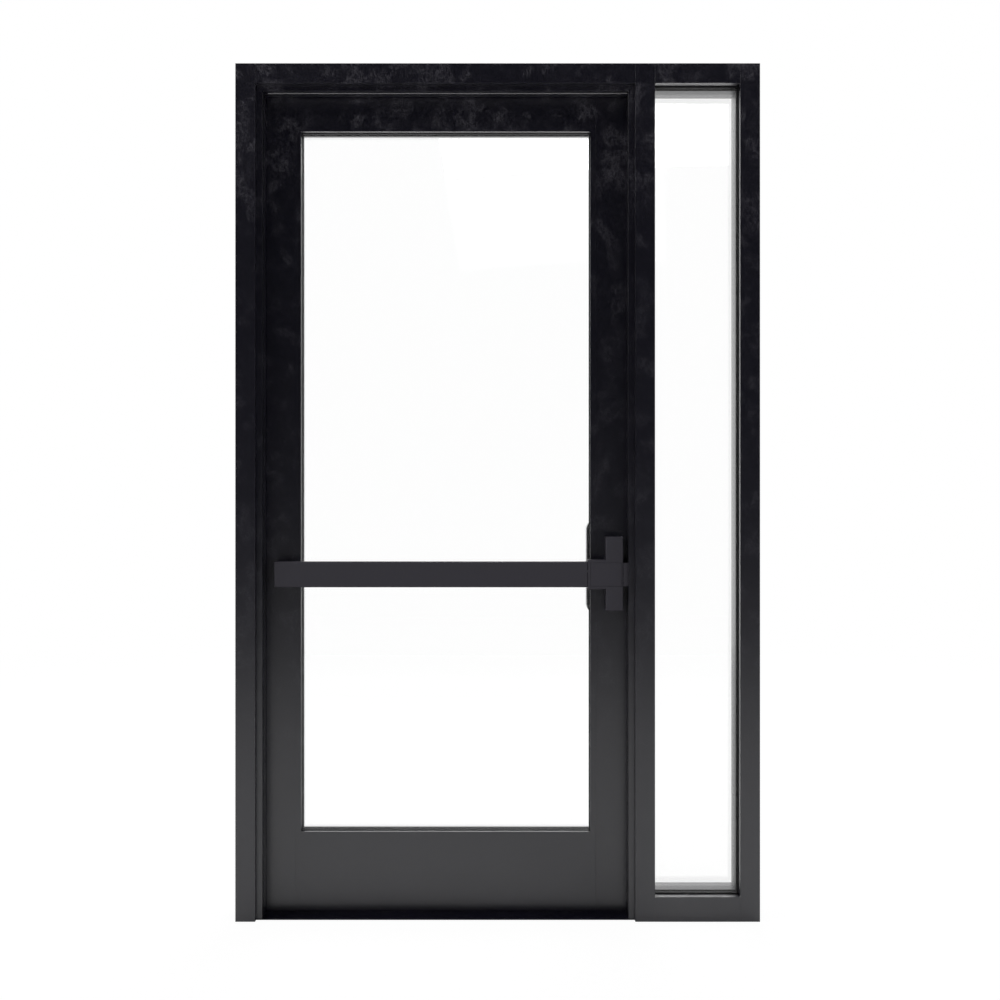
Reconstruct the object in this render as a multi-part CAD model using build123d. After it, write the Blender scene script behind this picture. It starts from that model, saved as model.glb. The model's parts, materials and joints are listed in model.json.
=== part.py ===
"""A single outswing storefront door in its aluminium frame, with a narrow fixed sidelite.

Seen from the push side: +X is to the right, +Y goes through the door to the outside and +Z is up.
The origin lies on the floor, in the middle of the frame's width and depth. Millimetres.

The frame is three uprights with short headers and a sill between them. The leaf hangs on three butt
hinges at the outside of the left jamb, closes against applied stops, and carries a push bar exit
device inside and an offset pull outside. Frame and leaf members are hollow extrusions.
"""

import os
from math import atan2, degrees

from build123d import *

# Frame members
DOOR_OPENING_WIDTH = 981.0
DOOR_OPENING_HEIGHT = 2163.6
SIDELITE_WIDTH = 220.0
MEMBER_FACE = 50.8
FRAME_DEPTH = 114.3
FRAME_WALL = 3.2
SILL_HEIGHT = 63.5
ANCHOR_HOLE_RADIUS = 4.25
ANCHOR_ACCESS_RADIUS = 8.0
JAMB_ANCHORS = 4
JAMB_ANCHOR_BOTTOM = 200.0
JAMB_ANCHOR_TOP_INSET = 234.4
HEADER_ANCHOR_INSET = 150.0

# Threshold
THRESHOLD_HEIGHT = 3.0
THRESHOLD_BEVEL = 2.2
THRESHOLD_FLUTES = 8
FLUTE_WIDTH = 4.0
FLUTE_DEPTH = 0.8
FLUTE_PITCH = 10.5

# Applied door stops, their pile strips and seals
STOP_FACE = 15.9
STOP_SETBACK = 13.5
STOP_DEPTH = 45.0
STOP_WALL = 2.0
GROOVE_SETBACK = 16.0
GROOVE_WIDTH = 4.0
GROOVE_DEPTH = 3.0
STOP_LIP = 6.0
PILE_RISE = 1.6
PILE_HINGE_TRIM = 11.0
PILE_LOCK_TRIM = 2.0
PILE_END_GAP = 0.5
SEAL_WIDTH = 8.0
SEAL_BASE = 1.2
SEAL_CLEARANCE = 0.3

# Door leaf
LEAF_THICKNESS = 50.8
LEAF_WALL = 3.2
DOOR_GAP = 3.2
SILL_GAP = 5.0
HINGE_STILE_WIDTH = 91.0
LOCK_STILE_WIDTH = 94.5
TOP_RAIL_HEIGHT = 88.0
KICK_RAIL_HEIGHT = 87.8
BOTTOM_RAIL_HEIGHT = 107.7
SWEEP_WIDTH = 8.0
SWEEP_GROOVE = 6.0
SWEEP_CLEARANCE = 0.3
TIE_ROD_RADIUS = 4.8
TIE_ROD_CLEARANCE = 0.1
TIE_NUT_RADIUS = 8.2
TIE_NUT_LENGTH = 8.0
TIE_ROD_END = 4.0

# Insulated glass and glazing
PANE_THICKNESS = 6.0
GLASS_THICKNESS = 25.4
GLASS_EDGE_CLEARANCE = 4.0
SPACER_INSET = 3.0
SPACER_WIDTH = 6.4
DOOR_BEAD_FACE = 13.5
DOOR_BEAD_WALL = 1.6
DOOR_GASKET = 3.5
DOOR_GASKET_INSET = 4.0
GASKET_SHOW = 1.2
POCKET_DEPTH = 12.7
POCKET_GASKET = 4.8
LITE_SETBACK = 23.5
LITE_BITE = 9.5
LITE_GASKET_BITE = 6.0
LITE_INNER_GASKET_SHOW = 3.5
LITE_OUTER_GASKET_SHOW = 1.0
SETTING_BLOCK_LENGTH = 100.0
LITE_BLOCK_LENGTH = 50.0

# Butt hinges
HINGE_HEIGHT = 114.3
HINGE_LEAF_DEPTH = 38.0
HINGE_LEAF_THICKNESS = 3.2
HINGE_KNUCKLES = 5
KNUCKLE_RADIUS = 6.0
KNUCKLE_OFFSET = 7.0
KNUCKLE_GAP = 0.3
HINGE_PIN_RADIUS = 3.4
HINGE_PIN_CLEARANCE = 0.06
HINGE_PIN_HEAD = 3.0
HINGE_PIN_HEAD_RADIUS = 5.4
HINGE_BOTTOM_HEIGHT = 260.0
HINGE_TOP_INSET = 180.0
HINGE_SCREW_RADIUS = 2.4
HINGE_SCREW_HEAD = 4.6
HINGE_SCREW_LENGTH = 9.0
HINGE_SCREW_ROWS = ((12.0, -42.0), (26.0, -16.0), (12.0, 16.0), (26.0, 42.0))
BACKER_THICKNESS = 6.0
BACKER_OVERLAP = 18.0
BACKER_MARGIN = 6.0
SCREW_CLEARANCE = 0.1

# Exit device
DEVICE_HEIGHT = 894.0
DEVICE_PROJECTION = 39.5
BAR_LEFT_INSET = 41.6
BAR_HEIGHT = 66.7
BAR_DEPTH = 24.0
BAR_WALL = 2.2
BAR_EDGE_RADIUS = 4.0
BAR_TRAVEL = 12.0
BAR_END_GAP = 0.8
END_CAP_THICKNESS = 3.0
RAIL_CLEARANCE = 1.2
RAIL_WALL = 3.0
RAIL_STOP_CLEARANCE = 1.65
RAIL_SEAT = 17.6
HOUSING_LENGTH = 47.6
HOUSING_HEIGHT = 76.2
CASE_WIDTH = 44.4
CASE_HEIGHT = 193.0
CASE_RISE = 2.0
CASE_WALL = 2.5
CASE_CHAMFER = 1.5
FACE_PLATE_LENGTH = 81.0
FACE_PLATE_HEIGHT = 61.0
FACE_PLATE_INSET = 3.6
FACE_PLATE_THICKNESS = 1.0
FACE_PLATE_GAP = 0.25
CHASSIS_PLATE = 3.0
CHASSIS_EDGE = 1.5
GUIDE_POST_RADIUS = 5.0
GUIDE_POST_CLEARANCE = 0.06
LEFT_POST_INSET = 131.0
RIGHT_POST_INSET = 83.6
BUSH_RADIUS = 8.0
BUSH_FLANGE_RADIUS = 11.0
BUSH_FLANGE = 2.0
SPRING_RADIUS = 9.0
SPRING_WALL = 1.6
DEVICE_SCREW_RADIUS = 2.4
DEVICE_SCREW_HEAD = 4.2
DEVICE_SCREW_HEAD_HEIGHT = 2.6
DEVICE_SCREW_LENGTH = 8.0

# Latch, crank and strike
LATCH_HEIGHT = 40.0
LATCH_THICKNESS = 17.0
LATCH_REACH = 10.2
LATCH_LENGTH = 37.0
LATCH_NOSE = 2.0
LATCH_SETBACK = 9.15
LATCH_GUIDE_GAP = 0.3
LATCH_GUIDE_INSET = 3.0
LATCH_GUIDE_THICKNESS = 6.0
LATCH_SLOT_CLEARANCE = 0.6
TONGUE_DEPTH = 7.5
TONGUE_REACH = 19.0
TONGUE_THICKNESS = 5.4
CRANK_ARM = 11.0
CRANK_THICKNESS = 8.0
CRANK_HUB_RADIUS = 6.5
CRANK_ARM_REACH = 12.0
CRANK_ARM_WALL = 2.0
CRANK_PIN_RADIUS = 2.5
CRANK_SLOT_CLEARANCE = 0.4
CRANK_SLOT_START = 8.0
CRANK_PLAY = 0.4
CRANK_INSET = 47.3
CRANK_SETBACK = 14.35
PIVOT_PIN_RADIUS = 3.0
PIVOT_CLEARANCE = 0.06
EAR_THICKNESS = 3.0
ACTUATOR_THICKNESS = 6.0
ACTUATOR_DEPTH = 8.0
ACTUATOR_FOOT_LENGTH = 30.0
ACTUATOR_FOOT_HEIGHT = 24.0
ACTUATOR_FOOT_INSET = 4.0
ACTUATOR_TIP = 3.5
GUIDE_POST_END_GAP = 2.0
STRIKE_HEIGHT = 61.0
STRIKE_FACE = 12.2
STRIKE_WALL = 2.0
STRIKE_CHAMFER = 2.0
STRIKE_RUNNING_GAP = 0.7
STRIKE_LIP_FACE = 8.7
STRIKE_LIP_THICKNESS = 4.5
STRIKE_CATCH_GAP = 1.0
STRIKE_SCREW_SPACING = 40.0
STRIKE_SCREW_LENGTH = 10.0

# Outside pull and key cylinder
PULL_RADIUS = 12.7
PULL_STANDOFF = 50.85
PULL_CENTRES = 304.8
PULL_TOP_RISE = 115.4
PULL_GRIP_LENGTH = 215.0
PULL_OFFSET = 41.5
PULL_FOOT_INSET = 56.9
PULL_BEND_RADIUS = 22.0
PULL_STUD_RADIUS = 4.0
PULL_STUD_DEPTH = 25.0
PULL_NUT_RADIUS = 7.5
PULL_NUT_LENGTH = 7.0
CYLINDER_RISE = 50.0
CYLINDER_RADIUS = 14.7
CYLINDER_COLLAR_RADIUS = 18.0
CYLINDER_COLLAR = 6.0
COLLAR_CHAMFER = 1.5
CYLINDER_LENGTH = 22.0
PLUG_RADIUS = 6.4
PLUG_CLEARANCE = 0.06
PLUG_FACE = 1.0
KEYWAY_WIDTH = 2.2
KEYWAY_HEIGHT = 8.0
KEYWAY_DEPTH = 12.0
TAILPIECE_WIDTH = 5.0
TAILPIECE_THICKNESS = 1.6
TAILPIECE_REACH = 2.0
TAILPIECE_HOLE_RADIUS = 4.0

# Places of the frame's faces
FRAME_WIDTH = 3 * MEMBER_FACE + DOOR_OPENING_WIDTH + SIDELITE_WIDTH
FRAME_HEIGHT = DOOR_OPENING_HEIGHT + MEMBER_FACE
FRONT = -FRAME_DEPTH / 2
REAR = FRAME_DEPTH / 2
LEFT = -FRAME_WIDTH / 2
HINGE_SIDE = LEFT + MEMBER_FACE
LOCK_SIDE = HINGE_SIDE + DOOR_OPENING_WIDTH
LITE_LEFT = LOCK_SIDE + MEMBER_FACE
LITE_RIGHT = LITE_LEFT + SIDELITE_WIDTH
RIGHT = LITE_RIGHT + MEMBER_FACE
STOP_FRONT = FRONT + STOP_SETBACK
STOP_REAR = STOP_FRONT + STOP_DEPTH
STOP_MIDDLE = STOP_FRONT + STOP_DEPTH / 2
JAMB_ANCHOR_PITCH = (FRAME_HEIGHT - JAMB_ANCHOR_TOP_INSET - JAMB_ANCHOR_BOTTOM) / (JAMB_ANCHORS - 1)
JAMB_ANCHOR_HEIGHTS = [JAMB_ANCHOR_BOTTOM + i * JAMB_ANCHOR_PITCH for i in range(JAMB_ANCHORS)]
GLAZING_HALF = GLASS_THICKNESS / 2

# Places in the sidelite's glazing pocket
POCKET_FRONT = FRONT + LITE_SETBACK
LITE_GLASS_FRONT = POCKET_FRONT + POCKET_GASKET
LITE_GLASS_REAR = LITE_GLASS_FRONT + GLASS_THICKNESS
LITE_GLASS_MIDDLE = (LITE_GLASS_FRONT + LITE_GLASS_REAR) / 2
POCKET_REAR = LITE_GLASS_REAR + POCKET_GASKET

# Places of the leaf's faces
LEAF_REAR = REAR
LEAF_FRONT = LEAF_REAR - LEAF_THICKNESS
LEAF_MIDDLE = (LEAF_FRONT + LEAF_REAR) / 2
LEAF_LEFT = HINGE_SIDE + DOOR_GAP
LEAF_RIGHT = LOCK_SIDE - DOOR_GAP
LEAF_BOTTOM = SILL_GAP
LEAF_TOP = DOOR_OPENING_HEIGHT - DOOR_GAP
RAIL_LEFT = LEAF_LEFT + HINGE_STILE_WIDTH
RAIL_RIGHT = LEAF_RIGHT - LOCK_STILE_WIDTH
KICK_TOP = LEAF_BOTTOM + KICK_RAIL_HEIGHT
PANEL_BOTTOM = KICK_TOP + BOTTOM_RAIL_HEIGHT
PANEL_TOP = LEAF_TOP - TOP_RAIL_HEIGHT
GLASS_FRONT = LEAF_MIDDLE - GLAZING_HALF
GLASS_REAR = LEAF_MIDDLE + GLAZING_HALF

# Places of the hinges
HINGE_AXIS_X = HINGE_SIDE + DOOR_GAP / 2
HINGE_AXIS_Y = REAR + KNUCKLE_OFFSET
HINGE_TOP_HEIGHT = LEAF_TOP - HINGE_TOP_INSET
HINGE_HEIGHTS = (HINGE_BOTTOM_HEIGHT, (HINGE_BOTTOM_HEIGHT + HINGE_TOP_HEIGHT) / 2, HINGE_TOP_HEIGHT)

# Places of the exit device
DEVICE_FRONT = LEAF_FRONT - DEVICE_PROJECTION
BAR_LEFT = LEAF_LEFT + BAR_LEFT_INSET
BAR_REAR = DEVICE_FRONT + BAR_DEPTH
STRIKE_RIGHT = LOCK_SIDE - STOP_FACE
STRIKE_LEFT = STRIKE_RIGHT - STRIKE_FACE
CASE_RIGHT = STRIKE_LEFT - STRIKE_RUNNING_GAP
CASE_LEFT = CASE_RIGHT - CASE_WIDTH
HOUSING_LEFT = CASE_LEFT - HOUSING_LENGTH
BAR_RIGHT = HOUSING_LEFT - BAR_END_GAP
RAIL_HEIGHT = BAR_HEIGHT - 2 * (BAR_WALL + RAIL_CLEARANCE)
RAIL_FRONT = DEVICE_FRONT + BAR_WALL + BAR_TRAVEL + RAIL_STOP_CLEARANCE
RAIL_BACK = LEAF_FRONT - RAIL_WALL
RAIL_START = BAR_LEFT + END_CAP_THICKNESS + RAIL_CLEARANCE
RAIL_END = RAIL_RIGHT + RAIL_SEAT
BAR_INNER = DEVICE_FRONT + BAR_WALL
CHASSIS_FRONT = LEAF_FRONT - CHASSIS_PLATE
CRANK_X = CASE_RIGHT - CRANK_INSET
CRANK_Y = LEAF_FRONT - CRANK_SETBACK
LATCH_FRONT = DEVICE_FRONT + LATCH_SETBACK
LATCH_REAR = LATCH_FRONT + LATCH_THICKNESS
LATCH_TIP = CASE_RIGHT + LATCH_REACH
LATCH_HEEL = LATCH_TIP - LATCH_LENGTH
HALF_TRAVEL = BAR_TRAVEL / 2
BAR_POST_PLACES = (BAR_LEFT + LEFT_POST_INSET, BAR_RIGHT - RIGHT_POST_INSET)
CASE_HEIGHT_MIDDLE = DEVICE_HEIGHT + CASE_RISE

# Places of the key cylinder and the pull
CYLINDER_X = (CASE_LEFT + CASE_RIGHT) / 2
CYLINDER_Z = DEVICE_HEIGHT + CYLINDER_RISE
PULL_FOOT_X = LEAF_RIGHT - PULL_FOOT_INSET
PULL_TOP = CYLINDER_Z + PULL_TOP_RISE
PULL_FOOT_HEIGHTS = (PULL_TOP - PULL_CENTRES, PULL_TOP)
PULL_Y = LEAF_REAR + PULL_STANDOFF

# Directions
TO_RIGHT = (1, 0, 0)
TO_LEFT = (-1, 0, 0)
OUTWARD = (0, 1, 0)
INWARD = (0, -1, 0)
UP = (0, 0, 1)
DOWN = (0, 0, -1)

# How far a cut runs past the face that it opens
PAST = 1.0


# Shared shapes

def block(x, y, z):
    """A box that fills three spans, each a (low, high) pair."""
    corner = Pos(x[0], y[0], z[0])
    return corner * Box(x[1] - x[0], y[1] - y[0], z[1] - z[0], align=(Align.MIN,) * 3)


def patch(u, v):
    """A rectangle that fills two spans of a sketch."""
    return Pos((u[0] + u[1]) / 2, (v[0] + v[1]) / 2) * Rectangle(u[1] - u[0], v[1] - v[0])


def around(middle, size):
    """The span of a size about a middle."""
    return (middle - size / 2, middle + size / 2)


def within(span, wall):
    """A span made smaller by a wall at both ends."""
    return (span[0] + wall, span[1] - wall)


def tube(u, v, wall):
    """A hollow rectangular section."""
    return patch(u, v) - patch(within(u, wall), within(v, wall))


def upright(section, z):
    """A section drawn in X and Y, run from one height to another."""
    return Pos(0, 0, z[0]) * extrude(section, z[1] - z[0])


def crosswise(section, x):
    """A section drawn in Y and Z, run along X."""
    return extrude(Plane.YZ.offset(x[0]) * section, x[1] - x[0])


def run(section, origin, rise, length):
    """A section whose first axis is +Y and whose second is the rise, run along its length."""
    way = Vector(*OUTWARD).cross(Vector(*rise))
    return extrude(Plane(origin=origin, x_dir=OUTWARD, z_dir=way) * section, length)


def bar(start, direction, radius, length):
    """A round bar from a start point, or the hole for one."""
    return Plane(origin=start, z_dir=direction) * Cylinder(
        radius, length, align=(Align.CENTER, Align.CENTER, Align.MIN))


def ring(x, y, z, width):
    """A rectangular frame in the plane of the door."""
    return block(x, y, z) - block(within(x, width), (y[0] - PAST, y[1] + PAST), within(z, width))


def flat_screw(start, direction, radius, head, length, grow=0.0):
    """A countersunk screw with its head at the start, or its hole when grown."""
    centred = (Align.CENTER, Align.CENTER, Align.MIN)
    top = Cone(head + grow, radius + grow, head - radius, align=centred)
    return Plane(origin=start, z_dir=direction) * (top + Cylinder(radius + grow, length, align=centred))


def hex_nut(start, direction, radius, hole, length):
    """A hexagonal nut from a start point."""
    section = RegularPolygon(radius, 6) - Circle(hole)
    return extrude(Plane(origin=start, z_dir=direction) * section, length)


def anchor_hole(start, direction):
    """A screw hole in the outer wall and a wider one for the driver in the inner wall."""
    middle = Vector(*start) + Vector(*direction) * (MEMBER_FACE / 2)
    hole = bar(start, direction, ANCHOR_HOLE_RADIUS, MEMBER_FACE / 2)
    return hole + bar(middle, direction, ANCHOR_ACCESS_RADIUS, MEMBER_FACE / 2 + PAST)


# Hinges

def hinge_face(side):
    """The X of the face that one leaf of the hinge lies in: -1 is the jamb, +1 is the door."""
    return HINGE_SIDE if side < 0 else LEAF_LEFT


def plate_span(side, thickness=HINGE_LEAF_THICKNESS):
    """The X span of a plate let into the jamb's or the door's edge."""
    face = hinge_face(side)
    return tuple(sorted((face, face + side * thickness)))


def hinge_screw_places(side):
    """Where the screws of one side's hinge leaves enter."""
    face = hinge_face(side)
    return [(face, REAR - depth, z + rise) for z in HINGE_HEIGHTS for depth, rise in HINGE_SCREW_ROWS]


def hinge_screw_holes(side):
    """The screw holes through leaves, walls and backers on one side."""
    return [flat_screw(place, (side, 0, 0), HINGE_SCREW_RADIUS, HINGE_SCREW_HEAD,
                       HINGE_SCREW_LENGTH + PAST, SCREW_CLEARANCE) for place in hinge_screw_places(side)]


def hinge_mortises(side):
    """The pockets in an edge wall that take the hinge leaves."""
    return [block(plate_span(side), (REAR - HINGE_LEAF_DEPTH, REAR + PAST), around(z, HINGE_HEIGHT))
            for z in HINGE_HEIGHTS]


def hinge_leaf(side, z):
    """One hinge leaf with its own knuckles: the jamb's has the odd ones, the door's the even."""
    span = plate_span(side)
    plate_end = HINGE_AXIS_Y - KNUCKLE_RADIUS - KNUCKLE_GAP
    leaf = block(span, (REAR - HINGE_LEAF_DEPTH, plate_end), around(z, HINGE_HEIGHT))
    pitch = HINGE_HEIGHT / HINGE_KNUCKLES
    first = 0 if side < 0 else 1
    for knuckle in range(first, HINGE_KNUCKLES, 2):
        low = z - HINGE_HEIGHT / 2 + knuckle * pitch + KNUCKLE_GAP / 2
        height = pitch - KNUCKLE_GAP
        leaf += block(span, (plate_end, HINGE_AXIS_Y), (low, low + height))
        leaf += bar((HINGE_AXIS_X, HINGE_AXIS_Y, low), UP, KNUCKLE_RADIUS, height)
    bore = bar((HINGE_AXIS_X, HINGE_AXIS_Y, z - HINGE_HEIGHT), UP,
               HINGE_PIN_RADIUS + HINGE_PIN_CLEARANCE, 2 * HINGE_HEIGHT)
    return leaf - bore


def hinge_leaves(side):
    """The three leaves on one side, with their screw holes."""
    leaves = [hinge_leaf(side, z) for z in HINGE_HEIGHTS]
    rows = len(HINGE_SCREW_ROWS)
    holes = hinge_screw_holes(side)
    return [leaf - holes[i * rows:(i + 1) * rows] for i, leaf in enumerate(leaves)]


def hinge_pins():
    """Three pins, each hanging by its head on the top knuckle."""
    pins = []
    for z in HINGE_HEIGHTS:
        top = z + HINGE_HEIGHT / 2 - KNUCKLE_GAP / 2
        pin = bar((HINGE_AXIS_X, HINGE_AXIS_Y, top), DOWN, HINGE_PIN_RADIUS, HINGE_HEIGHT - KNUCKLE_GAP)
        pins.append(pin + bar((HINGE_AXIS_X, HINGE_AXIS_Y, top), UP, HINGE_PIN_HEAD_RADIUS, HINGE_PIN_HEAD))
    return pins


def hinge_backers(side, wall):
    """Steel plates inside the hollow members that the hinge screws bite into."""
    near = hinge_face(side) + side * max(wall, HINGE_LEAF_THICKNESS)
    span = tuple(sorted((near, near + side * BACKER_THICKNESS)))
    depth = (REAR - HINGE_LEAF_DEPTH - BACKER_MARGIN, REAR - wall)
    plates = [block(span, depth, around(z, HINGE_HEIGHT + 2 * BACKER_OVERLAP)) for z in HINGE_HEIGHTS]
    rows = len(HINGE_SCREW_ROWS)
    holes = hinge_screw_holes(side)
    return [plate - holes[i * rows:(i + 1) * rows] for i, plate in enumerate(plates)]


def hinge_screws(side):
    """The countersunk screws of one side."""
    return [flat_screw(place, (side, 0, 0), HINGE_SCREW_RADIUS, HINGE_SCREW_HEAD, HINGE_SCREW_LENGTH)
            for place in hinge_screw_places(side)]


# Frame

def hinge_jamb():
    """The hollow jamb that carries the hinges."""
    body = upright(tube((LEFT, HINGE_SIDE), (FRONT, REAR), FRAME_WALL), (0, FRAME_HEIGHT))
    holes = [anchor_hole((LEFT, STOP_MIDDLE, z), TO_RIGHT) for z in JAMB_ANCHOR_HEIGHTS]
    return body - holes - hinge_mortises(-1)


def pocketed_section(u, side):
    """A hollow member with a glazing pocket in its -1 or +1 side in X."""
    lip = u[0] if side < 0 else u[1]
    floor = lip - side * POCKET_DEPTH
    pocket = patch(tuple(sorted((lip, floor))), (POCKET_FRONT, POCKET_REAR))
    web_floor = floor - side * FRAME_WALL
    web = patch(tuple(sorted((lip, web_floor))), within((POCKET_FRONT, POCKET_REAR), -FRAME_WALL))
    cavity = patch(within(u, FRAME_WALL), within((FRONT, REAR), FRAME_WALL)) - web
    return patch(u, (FRONT, REAR)) - cavity - pocket


def mullion():
    """The upright between the door and the sidelite."""
    return upright(pocketed_section((LOCK_SIDE, LITE_LEFT), 1), (0, FRAME_HEIGHT))


def sidelite_jamb():
    """The far jamb of the sidelite, with its wall anchor holes in the glazing pocket."""
    body = upright(pocketed_section((LITE_RIGHT, RIGHT), -1), (0, FRAME_HEIGHT))
    return body - [anchor_hole((RIGHT, LITE_GLASS_MIDDLE, z), TO_LEFT) for z in JAMB_ANCHOR_HEIGHTS]


def door_header():
    """The hollow header over the door, with anchor holes for the lintel."""
    section = tube((FRONT, REAR), (DOOR_OPENING_HEIGHT, FRAME_HEIGHT), FRAME_WALL)
    body = crosswise(section, (HINGE_SIDE, LOCK_SIDE))
    places = (HINGE_SIDE + HEADER_ANCHOR_INSET, LOCK_SIDE - HEADER_ANCHOR_INSET)
    return body - [anchor_hole((x, STOP_MIDDLE, FRAME_HEIGHT), DOWN) for x in places]


def glazed_section(face):
    """A cross member's section from its outer face at zero: a glazing pocket and a seat for the bead."""
    outline = patch((FRONT, REAR), (0, face)) - patch((POCKET_FRONT, REAR), (face - POCKET_DEPTH, face))
    base = patch(within((FRONT, REAR), FRAME_WALL), (FRAME_WALL, face - POCKET_DEPTH - FRAME_WALL))
    front = patch(within((FRONT, POCKET_FRONT), FRAME_WALL), (FRAME_WALL, face - FRAME_WALL))
    return outline - base - front


def sidelite_sill():
    """The sill under the sidelite."""
    return run(glazed_section(SILL_HEIGHT), (LITE_LEFT, 0, 0), UP, SIDELITE_WIDTH)


def sidelite_header():
    """The header over the sidelite."""
    return run(glazed_section(MEMBER_FACE), (LITE_RIGHT, 0, FRAME_HEIGHT), DOWN, SIDELITE_WIDTH)


def sidelite_beads():
    """The two hollow snap-in glass stops on the outside of the sill and the header."""
    section = tube((POCKET_REAR, REAR), (0, POCKET_DEPTH), DOOR_BEAD_WALL)
    sill = run(section, (LITE_LEFT, 0, SILL_HEIGHT - POCKET_DEPTH), UP, SIDELITE_WIDTH)
    return [sill, run(section, (LITE_RIGHT, 0, DOOR_OPENING_HEIGHT + POCKET_DEPTH), DOWN, SIDELITE_WIDTH)]


def threshold():
    """The low fluted saddle between jamb and mullion, bevelled at both edges."""
    depth = REAR - STOP_FRONT
    outline = Polygon((0, 0), (depth, 0), (depth - THRESHOLD_BEVEL, THRESHOLD_HEIGHT),
                      (THRESHOLD_BEVEL, THRESHOLD_HEIGHT), align=None)
    first = depth / 2 - (THRESHOLD_FLUTES - 1) * FLUTE_PITCH / 2
    for flute in range(THRESHOLD_FLUTES):
        outline -= patch(around(first + flute * FLUTE_PITCH, FLUTE_WIDTH),
                         (THRESHOLD_HEIGHT - FLUTE_DEPTH, THRESHOLD_HEIGHT + PAST))
    return run(outline, (HINGE_SIDE, STOP_FRONT, 0), UP, DOOR_OPENING_WIDTH)


# Door stops with their strips and seals

def stop_section():
    """The snap-on stop: open towards the member, with a groove for the pile strip."""
    groove = (GROOVE_SETBACK, GROOVE_SETBACK + GROOVE_WIDTH)
    floor = STOP_FACE - GROOVE_DEPTH
    hollow = patch(within((0, STOP_DEPTH), STOP_WALL), (STOP_WALL, STOP_FACE - STOP_WALL))
    mouth = patch(within((0, STOP_DEPTH), STOP_LIP), (0, STOP_WALL))
    channel = patch(within(groove, -STOP_WALL), (floor - STOP_WALL, STOP_FACE))
    outline = patch((0, STOP_DEPTH), (0, STOP_FACE))
    return outline - hollow - mouth + channel - patch(groove, (floor, STOP_FACE))


def pile_section():
    """The strip in the groove, standing a little proud of it."""
    width = (GROOVE_SETBACK, GROOVE_SETBACK + GROOVE_WIDTH)
    return patch(width, (STOP_FACE - GROOVE_DEPTH, STOP_FACE + PILE_RISE))


def seal_section():
    """The bulb seal on the back of a stop, clear of the closed leaf."""
    bulb_radius = (LEAF_FRONT - STOP_REAR - SEAL_CLEARANCE) / 2
    base = patch((STOP_DEPTH, STOP_DEPTH + SEAL_BASE), around(STOP_FACE / 2, SEAL_WIDTH))
    return base + Pos(STOP_DEPTH + bulb_radius, STOP_FACE / 2) * Circle(bulb_radius)


def along_hinge_jamb(section, top):
    """Runs a stop's section down the hinge jamb from a height to the threshold."""
    return run(section, (HINGE_SIDE, STOP_FRONT, top), TO_RIGHT, top - THRESHOLD_HEIGHT)


def along_mullion(section, top):
    """Runs a stop's section up the mullion from the threshold to a height."""
    return run(section, (LOCK_SIDE, STOP_FRONT, THRESHOLD_HEIGHT), TO_LEFT, top - THRESHOLD_HEIGHT)


def along_header(section, x):
    """Runs a stop's section along the door header."""
    return run(section, (x[1], STOP_FRONT, DOOR_OPENING_HEIGHT), DOWN, x[1] - x[0])


def mullion_stop():
    """The stop that carries the strike."""
    holes = [flat_screw(place, TO_RIGHT, DEVICE_SCREW_RADIUS, DEVICE_SCREW_HEAD, STRIKE_SCREW_LENGTH,
                        SCREW_CLEARANCE) for place in strike_screw_places()]
    return along_mullion(stop_section(), DOOR_OPENING_HEIGHT) - holes


def side_stop_piles():
    """The upright pile strips: the mullion's is cut round the strike."""
    top = DOOR_OPENING_HEIGHT - STOP_FACE - PILE_RISE - PILE_END_GAP
    strike_z = within(around(DEVICE_HEIGHT, STRIKE_HEIGHT), -PILE_END_GAP)
    strike_zone = block((HINGE_SIDE, LOCK_SIDE), (FRONT, REAR), strike_z)
    mullion_pile = along_mullion(pile_section(), top) - strike_zone
    return [along_hinge_jamb(pile_section(), top), *mullion_pile.solids()]


def header_stop_pile():
    """The pile strip under the header stop, short of the corners."""
    x = (HINGE_SIDE + STOP_FACE + PILE_HINGE_TRIM, LOCK_SIDE - STOP_FACE - PILE_LOCK_TRIM)
    return along_header(pile_section(), x)


def stop_seals():
    """The three bulb seals that the leaf closes against."""
    corner = (STOP_FACE + SEAL_WIDTH) / 2
    top = DOOR_OPENING_HEIGHT - corner
    inset = (STOP_FACE - SEAL_WIDTH) / 2
    header = along_header(seal_section(), within((HINGE_SIDE, LOCK_SIDE), inset))
    return [along_hinge_jamb(seal_section(), top), along_mullion(seal_section(), top), header]


# Insulated glass

def glass_unit(x, y_middle, z):
    """Two panes and the spacer between them, in the order inner, outer, spacer."""
    y = around(y_middle, GLASS_THICKNESS)
    inner = block(x, (y[0], y[0] + PANE_THICKNESS), z)
    outer = block(x, (y[1] - PANE_THICKNESS, y[1]), z)
    spacer = ring(within(x, SPACER_INSET), within(y, PANE_THICKNESS), within(z, SPACER_INSET), SPACER_WIDTH)
    return inner, outer, spacer


def setting_blocks(x, y_middle, z, length):
    """Two rubber blocks under the glass, at its quarter points."""
    quarter = (x[1] - x[0]) / 4
    middles = (x[0] + quarter, x[1] - quarter)
    return [block(around(middle, length), around(y_middle, GLASS_THICKNESS), z) for middle in middles]


def lite_glass_spans():
    """The X and Z spans of the sidelite's glass, which reaches into the pockets."""
    x = within((LITE_LEFT, LITE_RIGHT), -LITE_BITE)
    return x, within((SILL_HEIGHT, DOOR_OPENING_HEIGHT), -LITE_BITE)


def door_glass_spans():
    """The X and Z spans of the door's glass, clear of stiles and rails."""
    x = within((RAIL_LEFT, RAIL_RIGHT), GLASS_EDGE_CLEARANCE)
    return x, within((PANEL_BOTTOM, PANEL_TOP), GLASS_EDGE_CLEARANCE)


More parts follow.
